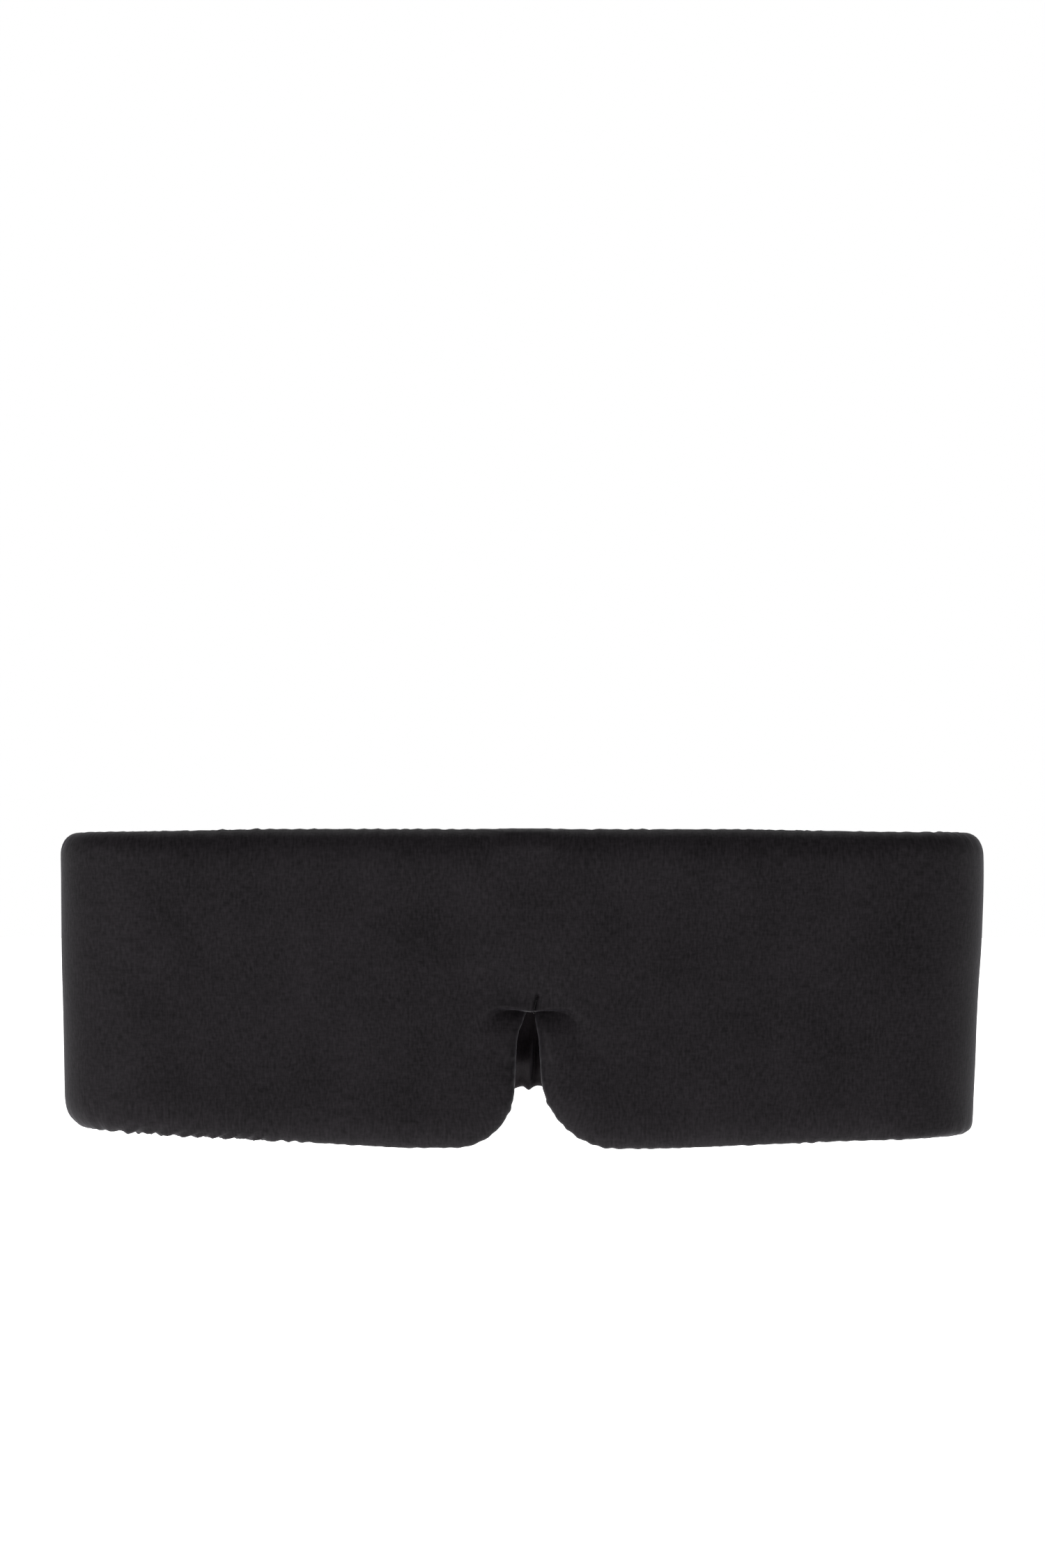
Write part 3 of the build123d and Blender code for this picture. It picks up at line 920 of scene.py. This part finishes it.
def seamPuckers(values, normals):
    # Ridges at right angles to the seam: ripple(run + slant * depth), fading as
    # exp(-depth / reach), and smaller ripples of the seam itself
    s, z, depth, side, run = values[:, 3:8].T
    longest = run.max() + 20 * mm
    slant = pucker["slant"] * softNoise(run / (24 * mm), side * 9.5)
    lowLeft = smoothStep(-s, *pucker["lowLeftFrom"]) * smoothStep(-z, *pucker["lowLeftDown"])
    lowLeft = lowLeft * (1 - smoothStep(-s, *pucker["lowLeftTo"]))
    strength = (0.6 + 0.4 * softNoise(run / (17 * mm), side * 3.3)) * (1 + pucker["lowLeft"] * lowLeft)
    place = run + (slant + pucker["lowLeftSlant"] * lowLeft) * depth
    onCover, onLining = (ripple(place, pucker["spacing"] * share, longest) for share in (1, 0.9))
    waves = np.where(side > 0.5, onCover, onLining)
    reach = pucker["reach"] * (1 + 0.5 * softNoise(run / (9 * mm), side * 5.1) + 0.9 * lowLeft)
    quiet = 1 - 0.8 * smoothStep(-np.abs(s - notchX), -9 * mm, -5 * mm) * (z > -30 * mm)
    amount = pucker["height"] * strength * quiet * waves * np.exp(-depth / reach)
    atSeam = pucker["seamHeight"] * (quiet + 1.6 * lowLeft)
    atSeam = atSeam * ripple(run, pucker["spacing"] * 0.8, longest)
    amount += atSeam * bell(depth, 1.2 * mm)
    return values[:, :3] + normals * amount[:, None]


def notchCreases(values, places):
    # The brow above the notch hangs over the lobes: below a curve that runs out from the apex to
    # each side, the cover drops back and then comes forward again, less and less outwards
    s, z = values[:, 3], values[:, 4]
    cover = values[:, 6] == 1
    apexX, apexZ = notchX + notch["apex"][0], notch["apex"][1] - 1.4 * mm
    side = np.where(s < apexX, -1, 1)
    reach = np.where(side < 0, crease["leftReach"], crease["rightReach"])
    u = np.clip(np.abs(s - apexX) / reach, 0, 1)
    rise = np.where(side < 0, crease["leftRise"], crease["rightRise"])
    curve = apexZ + rise * np.sin(u * math.pi) - crease["endFall"] * smoothStep(u, 0.5, 1.05)
    below = curve - z
    strength = (1 - u) ** 0.55 * smoothStep(-np.abs(s - apexX), -reach, -0.5 * reach)
    sharp = crease["sharp"] + crease["softening"] * u**2
    fall = smoothStep(below, -0.5 * sharp, sharp)
    fall = fall * np.exp(-((np.maximum(below, 0) / (crease["recovery"] + sharp)) ** 1.5))
    lip = bell(below + crease["lipAt"], crease["lipReach"])
    lip = lip * smoothStep(u, 0.03, 0.2) * (1 - u) ** 2
    inwards = strength * (crease["drop"] * fall - crease["lip"] * lip)
    sag = bell(below + crease["overhangAt"], crease["overhangReach"])
    sagging = crease["overhang"] * strength * sag
    # the slanted tuck that the tack holds: a narrow valley along a line, and a soft dimple
    top, foot = np.array(crease["tackTop"]), np.array(crease["tackFoot"])
    line = foot - top
    offset = np.column_stack([s, z]) - top
    t = np.clip(offset @ line / (line @ line), 0, 1)
    gap = np.linalg.norm(offset - t[:, None] * line, axis=1)
    valley = crease["tackDepth"] * bell(gap, crease["tackWidth"]) * (0.55 + 0.45 * t)
    middle = (top + foot) / 2
    around = np.hypot(s - middle[0], z - middle[1])
    valley += crease["dimple"] * bell(around, crease["dimpleReach"])
    moved = places.copy()
    moved[:, 1] += np.where(cover, inwards + valley, 0)
    moved[:, 2] -= np.where(cover, sagging, 0)
    return moved


def bendFolds(values, places, normals):
    # the linings' cloth, longer than the inside of a bend, stands in upright folds
    s, z, depth, side, _ = values[:, 3:8].T
    inBend = smoothStep(np.abs(s), frontRun - 2 * mm, frontRun + 12 * mm)
    inBend = inBend * (1 - smoothStep(np.abs(s), bendRun - 12 * mm, bendRun + 2 * mm))
    drift = bendFold["drift"] * softNoise(s / (20 * mm) + 31, z / (17 * mm) + 17)
    wave = ripple(s + wingRun + drift, bendFold["spacing"], 2 * wingRun + 40 * mm)
    height = 0.65 + 0.35 * softNoise(s / (9 * mm) + 11, z / (14 * mm) + 41)
    amount = bendFold["depth"] * wave * height * inBend * (side < 0.5) * smoothStep(depth, 0, 8 * mm)
    return places + normals * amount[:, None]


def softWaves(values, places, normals):
    # the broad unevenness of wadding under silk
    s, z, depth, side, _ = values[:, 3:8].T
    broad = softNoise(s / (31 * mm) + 20 + 7 * side, z / (24 * mm) + 20)
    small = softNoise(s / (11 * mm) + 40 + 5 * side, z / (10 * mm) + 20)
    amount = wadding["broadHeight"] * broad + wadding["smallHeight"] * small
    amount = amount * smoothStep(depth, 0, 9 * mm)
    atS, atZ = wadding["gatherAt"]
    wide, tall = wadding["gatherReach"]
    gathers = np.exp(-(((s - notchX - atS) / wide) ** 2) - ((z - atZ) / tall) ** 2)
    waves = ripple(s + wingRun, wadding["gatherSpacing"], 2 * wingRun)
    amount += wadding["gather"] * gathers * waves * (side > 0.5)
    return places + normals * amount[:, None]


def makeBand():
    made = fillBand()
    print("band pattern", len(made["places"]), "points", len(made["faces"]), "faces")
    settleBand(made)
    columns = [made[name] for name in ("s", "z", "depth", "cover", "run")]
    values = np.column_stack([made["places"], *columns])
    faceCover = np.repeat(made["faceCover"], 4)
    centre = made["s"][made["faces"]].mean(1)
    section = np.repeat(np.where(np.abs(centre) < made["split"], 0, np.sign(centre)), 4)
    values, faces = refined(values, made["faces"], made["seam"])
    values[:, 6] = 0
    values[faces[faceCover], 6] = 1
    places = seamPuckers(values, vertexNormals(values[:, :3], faces))
    normals = vertexNormals(places, faces)
    places = softWaves(values, bendFolds(values, places, normals), normals)
    places = notchCreases(values, places)
    return places, values, faces, faceCover, section


def splitCap(values, faces, sideways):
    # closes a section where it was split: a strip between its cover's edge and its lining's
    sides = sidesOf(faces)
    _, first, number = np.unique(np.sort(sides, axis=1), axis=0, return_index=True, return_counts=True)
    rim = np.unique(sides[first[number == 1]])
    rim = rim[np.sign(values[rim, 3]) == sideways]
    ordered = rim[np.argsort(values[rim, 4])]
    cover = ordered[values[ordered, 6] == 1]
    lining = np.concatenate([cover[:1], ordered[values[ordered, 6] == 0], cover[-1:]])
    a, b, c, d = cover[:-1], cover[1:], lining[1:], lining[:-1]
    strip = np.concatenate([np.column_stack([a, b, c]), np.column_stack([a, c, d])])
    whole = (strip[:, 0] != strip[:, 1]) & (strip[:, 1] != strip[:, 2]) & (strip[:, 0] != strip[:, 2])
    return strip[whole]


def makePads():
    places, values, faces, faceCover, section = makeBand()
    normals = vertexNormals(places, faces)
    uv = values[:, 3:5] + 0.5
    for name, part in (("front", 0), ("strap_wing", -1), ("loop_wing", 1)):
        mine = section == part
        faceSets = [faces[mine]]
        faceMaterial = [1 - faceCover[mine]]
        for sideways in (-1, 1) if part == 0 else (part,):
            cap = splitCap(values, faces[mine], sideways)
            # a cap faces away from its section, which is along +X or -X at the split
            a, b, c = (places[cap[:, i]] for i in range(3))
            facing = np.cross(b - a, c - a).sum(0)[0]
            outwards = sideways if part == 0 else -sideways
            faceSets.append(cap if facing * outwards > 0 else cap[:, ::-1])
            faceMaterial.append(np.ones(len(cap)))
        piece = meshPiece(
            name + "_pad", places, faceSets, (silk, lining), uv, normals, np.concatenate(faceMaterial)
        )
        if part:
            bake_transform(piece)
        else:
            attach(piece, name)
        layers = ("_outer_cover", "_wadding", "_blackout_layer", "_lining")
        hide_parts(*[name + layer for layer in layers])
        print(name, "pad", len(piece.data.polygons), "faces")


# ---- the gathered strap ----
strap = {
    "step": 0.5 * mm,
    "girthStep": 1.2 * mm,
    "half": 1.15 * mm,  # half the casing's thickness, without its folds
    "rootX": -42 * mm,  # where the short piece that bends at the wing ends
    "fold": 6.0 * mm,
    "foldHeight": 1.25 * mm,
    "smallFold": 2.7 * mm,
    "smallHeight": 0.35 * mm,
    "puff": 3.6 * mm,  # how far the silk stands off the elastic behind the notch
    "puffAt": (1 * mm, -21 * mm),
    "puffReach": (15 * mm, 5.5 * mm),
    "deepFoldX": 3.1 * mm,  # one fold there goes in to the elastic
    "deepFoldLean": 0.04,
    "deepFoldReach": (0.6 * mm, 1.9 * mm),
    "deepest": 0.42 * mm,  # how far a valley may go in
    "drift": 0.35 * mm,
    "hemWave": 0.6 * mm,
    "edgeSway": 0.8 * mm,
    "cut": (0.106, 0.112),  # the long part's girth, and its length before it was gathered
    "rootCut": (0.106, 0.012),
}


def stadium(halfY, halfZ, step):
    # A flat round-ended loop, starting at its lowest point: places (y, z), normals, and run
    straight = np.linspace(-1, 1, math.ceil(2 * (halfZ - halfY) / step))[1:-1] * (halfZ - halfY)
    turn = np.linspace(0, math.pi, 9)
    low = np.column_stack([halfY * -np.cos(turn), -(halfZ - halfY) - halfY * np.sin(turn)])
    front = np.column_stack([np.full(len(straight), halfY), straight])
    loop = np.concatenate([low, front, -low, -front])
    ahead = np.roll(loop, -1, 0) - np.roll(loop, 1, 0)
    normal = np.column_stack([ahead[:, 1], -ahead[:, 0]])
    normal /= np.linalg.norm(normal, axis=1)[:, None]
    run = np.concatenate([[0], np.cumsum(np.linalg.norm(np.diff(loop, axis=0), axis=1))])
    return loop, normal, run


def foldedHeight(x, z, spacing, drift):
    # Upright folds with round crests and narrow valleys: |sin(pi * phase)| ^ 0.8 less a third,
    # where the phase wanders so that folds merge and part
    phase = x / spacing + drift * softNoise(x / (11 * mm) + 20, z / (19 * mm) + 20)
    return np.abs(np.sin(math.pi * phase)) ** 0.8 - 0.33


def makeStrap():
    halfZ = (casingHigh.z - casingLow.z) / 2 - strap["hemWave"]  # the waves come on top
    loop, normal, run = stadium(strap["half"], halfZ, strap["girthStep"])
    startX, endX = casingLow.x - 1.4 * mm, casingHigh.x + 0.8 * mm
    columns = np.linspace(startX, endX, math.ceil((endX - startX) / strap["step"]) + 1)
    rootAt = np.abs(columns - strap["rootX"]).argmin()
    x = np.broadcast_to(columns[:, None], (len(columns), len(loop)))
    y, z = (np.broadcast_to(loop[:, i], x.shape) for i in (0, 1))
    edge = smoothStep(np.abs(z), halfZ - 8 * mm, halfZ - 0.5 * mm)
    nearEnd = np.minimum(x - startX, endX - x)
    free = 0.4 + 0.6 * smoothStep(nearEnd, 1 * mm, 8 * mm)
    deepest = strap["deepest"]
    heights = []
    for _ in ("front", "back"):
        big = strap["foldHeight"] * foldedHeight(x, z, strap["fold"], 0.9)
        big = big * (0.75 + 0.35 * softNoise(x / (8 * mm) + 20, z / (15 * mm) + 20))
        small = strap["smallHeight"] * foldedHeight(x, z, strap["smallFold"], 0.7)
        heights.append(np.maximum(big + small, -deepest))
    puffX, puffZ = strap["puffAt"]
    wide, tall = strap["puffReach"]
    near = np.exp(-(((x - puffX) / wide) ** 2) - ((z + strapMidZ - puffZ) / tall) ** 2)
    past = x - strap["deepFoldX"] - strap["deepFoldLean"] * (z - puffZ)
    deep = bell(past, np.where(past < 0, *strap["deepFoldReach"]))
    heights[0] = (heights[0] + strap["puff"] * near + deepest) * (1 - deep) - deepest
    layer = smoothStep(y, -0.6 * strap["half"], 0.6 * strap["half"])
    height = (heights[0] * (1 - layer) + heights[1] * layer) * (1 - 0.55 * edge) * free
    longest = endX - startX + 20 * mm
    sway = strap["edgeSway"] * ripple(x - startX, 6.5 * mm, longest) * edge * free
    upper, lower = (ripple(x - startX, spacing, longest) for spacing in (4.6 * mm, 4.9 * mm))
    scallop = strap["hemWave"] * np.where(z > 0, upper, lower) * np.sign(z) * edge * free
    places = np.stack(
        [
            x + strap["drift"] * softNoise(x / (5 * mm) + 20, z / (8 * mm) + 20) * free,
            strapMidY + y + normal[:, 0] * height + sway,
            strapMidZ + z + normal[:, 1] * height * 0.5 + scallop,
        ],
        -1,
    ).reshape(-1, 3)
    k = np.arange(x.size).reshape(x.shape)
    turned = np.roll(k, -1, 1)
    quads = np.stack([k[:-1], k[1:], turned[1:], turned[:-1]], -1)
    flat = quads.reshape(-1, 4)
    normals = vertexNormals(places, np.concatenate([flat[:, :3], flat[:, [0, 2, 3]]]))
    if (normals.reshape(*x.shape, 3)[..., 1] * y).sum() < 0:
        quads = quads[..., ::-1]
        normals = -normals
    uv = np.column_stack([x.ravel() * 1.5 + 0.5, np.broadcast_to(run, x.shape).ravel()])
    edges = np.linalg.norm(np.diff(places.reshape(*x.shape, 3), axis=0), axis=2).sum(0)
    print("strap's cloth is", round(edges.mean() / mm), "mm long over", round((endX - startX) / mm))
    root, main = (
        meshPiece(name, places, [part.reshape(-1, 4)], gathered, uv, normals)
        for name, part in (("strap_casing_root", quads[:rootAt]), ("strap_casing_silk", quads[rootAt:]))
    )
    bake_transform(root)
    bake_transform(main)
    for piece in (root, main):
        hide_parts("strap_casing")
    print("strap casing", quads.size // 4, "faces")


def makeElastic():
    # flat knitted webbing inside the casing, from the short piece's end of it
    low, high = (elasticLow.x + 3 * mm, elasticLow.z), (elasticHigh.x, elasticHigh.z)
    corners = (0.5 * mm, 0.5 * mm)
    places, quads = slab(low, high, corners, 0.5 * mm, 1.5 * mm, elasticHigh.y, elasticLow.y)
    piece = meshPiece("elastic_webbing", places, quads, elastic, places[:, [0, 2]] + 0.5)
    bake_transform(piece)
    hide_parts("elastic_band")


# ---- hems, tab and stitches ----
sewing = {
    "pitch": 3.2 * mm,
    "length": 2.5 * mm,
    "width": 0.45 * mm,
    "turn": 1.55 * mm,  # how far a row stops short of a corner
    "radius": 0.2 * mm,
    "inset": 1.4 * mm,  # from the edge of the piece that is sewn down
    "dimple": 0.28 * mm,
    "dimpleReach": 0.55 * mm,
}
hem = {
    "step": 0.8 * mm,
    "rootFall": 1.6 * mm,  # how far the root hem slopes down to the strap, and over what length
    "rootFallRun": 6.0 * mm,
    "rootUnder": 1.9 * mm,  # how far it follows the pad's round end down, and over what length
    "rootUnderRun": 5.0 * mm,
    "rootSink": 0.3 * mm,
    "rootEdge": 1.3 * mm,
    "endEdge": 1.1 * mm,
}
tab = {
    "step": 0.9 * mm,
    "edge": 0.9 * mm,
    "corners": (0.8 * mm, 6.0 * mm),
    "under": 1.2 * mm,  # how far it goes into the end hem
    "fold": (-0.8 * mm, 1.7 * mm),  # two places along it, from its end at the hem
}


def stitchDimple(away):
    # the valley that a row of stitches pulls into the cloth, at a distance from the row
    return sewing["dimple"] * bell(away, sewing["dimpleReach"])


def frameStitches(node):
    # centres (x, z) and directions of the rows round a sewn-down rectangle
    low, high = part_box(node)
    half = sewing["width"] / 2
    lowX, highX, lowZ, highZ = low.x + half, high.x - half, low.z + half, high.z - half
    middles, ways = [], []
    for start, end, level, alongX in (
        (lowX, highX, lowZ, True),
        (lowX, highX, highZ, True),
        (lowZ, highZ, lowX, False),
        (lowZ, highZ, highX, False),
    ):
        run = end - start - 2 * sewing["turn"]
        count = max(1, math.ceil(run / sewing["pitch"]))
        along = start + sewing["turn"] + run * (np.arange(count) + 0.5) / count
        fixed = np.full(count, level)
        middles.append(np.column_stack([along, fixed] if alongX else [fixed, along]))
        ways.append(np.tile([1.0, 0.0] if alongX else [0.0, 1.0], (count, 1)))
    return np.concatenate(middles), np.concatenate(ways)


def sew(name, node, body, face, rows=None):
    # Each stitch is a thread that comes up, lies along the cloth and goes down again: its height
    # over the face is radius * (1 - 3.5 * t^6) for t from -1 to 1 along it. The face is a Y, or a
    # function of x, and the rows go round the node's box unless they are given.
    middles, ways = rows or frameStitches(node)
    t = np.linspace(-1, 1, 9)
    count = len(middles)
    length = sewing["length"] * rng.uniform(0.9, 1.05, count)
    turn = rng.normal(0, 0.05, count)
    c, s = np.cos(turn), np.sin(turn)
    ways = np.column_stack([ways[:, 0] * c - ways[:, 1] * s, ways[:, 0] * s + ways[:, 1] * c])
    along = t[None, :] * length[:, None] / 2
    x = middles[:, :1] + ways[:, :1] * along
    z = middles[:, 1:] + ways[:, 1:] * along
    y = (face(x) if callable(face) else face + 0 * x) + sewing["radius"] * (1 - 3.5 * t**6)
    plane = np.column_stack([-ways[:, 1], np.zeros(count), ways[:, 0]])
    radius = sewing["radius"] * np.clip(1.25 - t**2 * 0.45, 0, 1)
    places, faceSets = tubes(np.stack([x, y, z], -1), radius[None, :], plane)
    piece = meshPiece(name, places, faceSets, thread)
    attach(piece, body)
    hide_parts(node)


def puckered(x, z, size):
    # small unevenness of folded silk that is sewn down
    return size * softNoise(x / (3.4 * mm) + 90, z / (4.3 * mm) + 90)


def makeRootHem():
    low, high = rootHemLow, rootHemHigh

    def slope(x):
        return high.y - hem["rootFall"] * (1 - smoothStep(x, low.x, low.x + hem["rootFallRun"]))

    def outer(x, z, inset):
        return slope(x) - stitchDimple(inset - sewing["inset"]) + puckered(x, z, 0.14 * mm)

    def inner(x, z, inset):
        under = smoothStep(x, high.x - hem["rootUnderRun"], high.x)
        return low.y - hem["rootSink"] - hem["rootUnder"] * under

    far = (high.x + 0.4 * mm, high.z)
    corners = (1.6 * mm, 1.0 * mm)
    places, quads = slab((low.x, low.z), far, corners, hem["rootEdge"], hem["step"], outer, inner)
    piece = meshPiece("strap_root_fold", places, quads, silk, places[:, [0, 2]] + 0.7)
    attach(piece, "strap_wing")
    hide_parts("strap_root_hem")
    node = "strap_root_stitches"
    sew("strap_root_threads", node, "strap_wing", lambda x: slope(x) - sewing["dimple"])


def makeEndHem():
    low, high = endHemLow, endHemHigh
    stitchLow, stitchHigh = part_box("strap_end_stitches")
    row = (stitchLow.x + stitchHigh.x) / 2

    def outer(x, z, inset):
        return high.y - stitchDimple(x - row) + puckered(x, z, 0.12 * mm)

    def inner(x, z, inset):
        return low.y + stitchDimple(x - row) + puckered(x, z, 0.10 * mm)

    far = (high.x, high.z)
    corners = (0.9 * mm, 0.9 * mm)
    places, quads = slab((low.x, low.z), far, corners, hem["endEdge"], hem["step"], outer, inner)
    piece = meshPiece("strap_end_fold", places, quads, silk, places[:, [0, 2]] + 0.9)
    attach(piece, "strap_end")
    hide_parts("strap_end_hem")
    half = sewing["length"] / 2 - 0.15 * mm
    count = round((stitchHigh.z - stitchLow.z - 2 * half) / sewing["pitch"]) + 1
    z = np.linspace(stitchLow.z + half, stitchHigh.z - half, count)
    rows = np.column_stack([np.full(count, row), z]), np.tile([0.0, 1.0], (count, 1))
    sew("strap_end_threads", "strap_end_stitches", "strap_end", high.y - sewing["dimple"], rows)


def makeTab():
    # stiffened silk, a little fuller between its edge and the stitches than beside them
    low, high = tabLow, tabHigh
    row = hookTapeLow.x - tabLow.x + sewing["inset"]  # from the tab's edge

    def outer(x, z, inset):
        return high.y - stitchDimple(inset - row) + puckered(x, z, 0.07 * mm)

    def inner(x, z, inset):
        return low.y + puckered(x, z, 0.05 * mm)

    near, far = (low.x - tab["under"], low.z), (high.x, high.z)
    places, quads = slab(near, far, tab["corners"], tab["edge"], tab["step"], outer, inner)
    piece = meshPiece("tab_silk", places, quads, silk, places[:, [0, 2]] + 1.1)
    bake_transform(piece)
    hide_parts("tab_cover")
    sew("hook_tape_threads", "hook_tape_stitches", "hook_tab", high.y - sewing["dimple"])
    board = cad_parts["tab_stiffener"].data
    board.materials.clear()
    board.materials.append(plasticSheet())


# ---- hook and loop tapes ----
tapes = {
    "base": 0.55 * mm,
    "corner": 2.0 * mm,
    "hookPitch": (1.5 * mm, 1.9 * mm),
    "hookRadius": 0.11 * mm,
    "hookBow": 0.22 * mm,
    "hookBorder": 2.4 * mm,
    "loops": 1100,
    "loopRadius": 0.07 * mm,
    "loopBorder": 0.5 * mm,
    "loopWidth": (0.35, 0.75),  # half, in mm
    "loopHeight": (0.6, 1.0),  # shares of the tape's pile
}


def makeHookTape():
    low, high = hookTapeLow, hookTapeHigh
    base = high.y - tapes["base"]

    def inner(x, z, inset):
        return base + puckered(x, z, 0.04 * mm)

    corners = (tapes["corner"], tapes["corner"])
    body = slab((low.x, low.z), (high.x, high.z), corners, 0.25 * mm, 1.2 * mm, high.y, inner)
    border, pitch = tapes["hookBorder"], tapes["hookPitch"]
    x, z = np.meshgrid(
        np.arange(low.x + border, high.x - border, pitch[0]),
        np.arange(low.z + border, high.z - border, pitch[1]),
    )
    x, z = x.ravel(), z.ravel()
    facing = np.where(np.round((z - low.z - border) / pitch[1]).astype(int) % 2, 1.0, -1.0)
    # a stem that leans into more than half a turn
    bow = tapes["hookBow"]
    stem = base - low.y - tapes["hookRadius"] - bow
    angle = np.linspace(0, 1.15 * math.pi, 5)
    side = np.concatenate([[0, 0], bow * (1 - np.cos(angle))])
    height = np.concatenate([[0, stem * 0.6], stem + bow * np.sin(angle)])
    y = base - height[None, :] + 0 * x[:, None]
    paths = np.stack([x[:, None] + 0 * y, y, z[:, None] + facing[:, None] * side[None, :]], -1)
    hooks = tubes(paths, tapes["hookRadius"], np.tile([1.0, 0, 0], (len(x), 1)), 4)
    piece = meshPiece("hook_tape_nylon", *joined([body, hooks]), hookNylon)
    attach(piece, "hook_tab")
    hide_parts("hook_tape")
    print("hook tape", len(x), "hooks")


def makeLoopTape():
    low, high = loopTapeLow, loopTapeHigh
    base = low.y + tapes["base"]

    def outer(x, z, inset):
        return base + 0.18 * mm * softNoise(x / (1.1 * mm), z / (1.1 * mm))

    corners = (tapes["corner"], tapes["corner"])
    under = low.y - 0.15 * mm
    body = slab((low.x, low.z), (high.x, high.z), corners, 0.3 * mm, 0.9 * mm, outer, under)
    # brushed loops: arches at random places and turns
    count, border = tapes["loops"], tapes["loopBorder"]
    x = rng.uniform(low.x + border, high.x - border, count)
    z = rng.uniform(low.z + border, high.z - border, count)
    turn = rng.uniform(0, math.pi, count)
    wide = rng.uniform(*tapes["loopWidth"], count) * mm
    tall = (high.y - base) * rng.uniform(*tapes["loopHeight"], count)
    angle = np.linspace(0, math.pi, 6)
    side = -np.cos(angle)[None, :] * wide[:, None]
    alongX = x[:, None] + np.cos(turn)[:, None] * side
    alongZ = z[:, None] + np.sin(turn)[:, None] * side
    up = base - 0.1 * mm + np.sin(angle)[None, :] * tall[:, None]
    plane = np.column_stack([-np.sin(turn), np.zeros(count), np.cos(turn)])
    loops = tubes(np.stack([alongX, up, alongZ], -1), tapes["loopRadius"], plane, 3)
    piece = meshPiece("loop_tape_pile", *joined([body, loops]), loopPile)
    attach(piece, "loop_wing")
    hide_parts("loop_tape")
    sew("loop_tape_threads", "loop_tape_stitches", "loop_wing", base + 0.25 * mm)
    print("loop tape", count, "loops")


# ---- the care label and the notch's tack ----
label = {
    "fold": 0.45 * mm,
    "curl": 1.3 * mm,
    "cup": 0.35 * mm,
    "gap": 0.25 * mm,  # from the lining, at its sewn top
    "layer": 0.12 * mm,
    "cut": (0.014, 0.040),
}


def makeLabel():
    # A blank ribbon folded in two, sewn down at its top, with its fold hanging a little away from
    # the lining: down one layer, round a half turn, and up the other
    low, high = labelLow, labelHigh
    radius = label["fold"]
    down = np.linspace(0, 1, 18)
    turn = np.linspace(0, math.pi, 8)[1:-1]
    layerZ = high.z - (high.z - low.z - radius) * down
    backY = high.y - label["gap"] - label["curl"] * down**2.2
    apart = 2 * radius * down**0.8 + label["layer"]
    z = np.concatenate([layerZ, low.z + radius - radius * np.sin(turn), layerZ[::-1]])
    foldY = backY[-1] - apart[-1] / 2 + apart[-1] / 2 * np.cos(turn)
    y = np.concatenate([backY, foldY, (backY - apart)[::-1]])
    x = np.linspace(low.x, high.x, 16)
    cup = label["cup"] * ((x - x.mean()) / (x[-1] - x[0]) * 2) ** 2
    hanging = np.clip((high.z - z) / (high.z - low.z), 0, 1)
    grid = np.stack(
        np.broadcast_arrays(x[:, None], y[None, :] + cup[:, None] * hanging[None, :], z[None, :]), -1
    )
    run = np.concatenate([[0], np.cumsum(np.hypot(np.diff(y), np.diff(z)))])
    uv = np.stack(np.broadcast_arrays(x[:, None], run[None, :]), -1).reshape(-1, 2) + 0.5
    k = np.arange(len(x) * len(z)).reshape(len(x), len(z))
    quads = np.stack([k[:-1, :-1], k[:-1, 1:], k[1:, 1:], k[1:, :-1]], -1).reshape(-1, 4)
    piece = meshPiece("care_label_satin", grid.reshape(-1, 3), [quads], wovenSatin(), uv)
    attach(piece, "loop_wing")
    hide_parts("care_label")


tack = {"radius": 0.08 * mm, "turns": 7, "from": 0.15, "to": 0.9, "sink": 0.9 * mm, "dip": 0.5 * mm}


def makeTack():
    # a bar tack lying in its tuck: two long threads with seven turns round them
    top, foot = (
        np.array(crease["tackTop"]) * (1 - share) + np.array(crease["tackFoot"]) * share
        for share in (tack["from"], tack["to"])
    )
    way = (foot - top) / np.linalg.norm(foot - top)
    across = np.array([-way[1], way[0]])
    radius, turns = tack["radius"], tack["turns"]
    faceY = coverLow.y + crease["tackDepth"] + tack["sink"]
    t = np.linspace(0, 1, 9)
    parts = []
    for sideways in (-1, 1):
        line = top + (foot - top) * t[:, None] + across * sideways * radius
        path = np.column_stack([line[:, 0], faceY + tack["dip"] * (2 * t - 1) ** 4, line[:, 1]])
        parts.append(tubes(path[None], radius, np.array([[across[0], 0, across[1]]])))
    share = (np.arange(turns) + 0.5) / turns
    middle = top + (foot - top) * share[:, None]
    angle = np.linspace(0.1 * math.pi, 0.9 * math.pi, 7)
    side = -np.cos(angle)[None, :] * 2.3 * radius
    x, z = (middle[:, i : i + 1] + across[i] * side for i in (0, 1))
    paths = np.stack([x, faceY - np.sin(angle) * 1.9 * radius + 0 * x, z], -1)
    parts.append(tubes(paths, radius * 0.9, np.tile([way[0], 0, way[1]], (turns, 1))))
    piece = meshPiece("notch_tack_thread", *joined(parts), thread)
    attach(piece, "front")
    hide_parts("notch_tack")


makeStudio()
silk = silkCloth("washedSilkBlack", "#161416", 0.56, 0.05, 0.62, 0.08 * mm)
lining = silkCloth("charmeuseLining", "#161415", 0.2, 0.08, 0.42, 0.03 * mm)
# the strap's silk is the front's black silk made a little darker: painted shade for the dim inside of
# the loop behind the notch
gathered = silkCloth("gatheredSilkBlackShaded", "#151214", 0.45, 0.05, 0.55, 0.07 * mm)
thread = sewingThread()
elastic = knittedElastic()
hookNylon = mouldedNylon("hookNylonBlack", "#1a191b", 0.4, 0.6 * mm)
loopPile = mouldedNylon("loopPileBlack", "#171618", 0.7, 0.35 * mm)
print("studio and materials")

makePads()
makeStrap()
makeElastic()
makeRootHem()
makeEndHem()
makeTab()
makeHookTape()
makeLoopTape()
makeLabel()
makeTack()
print("strap, tab, tapes, label and threads")
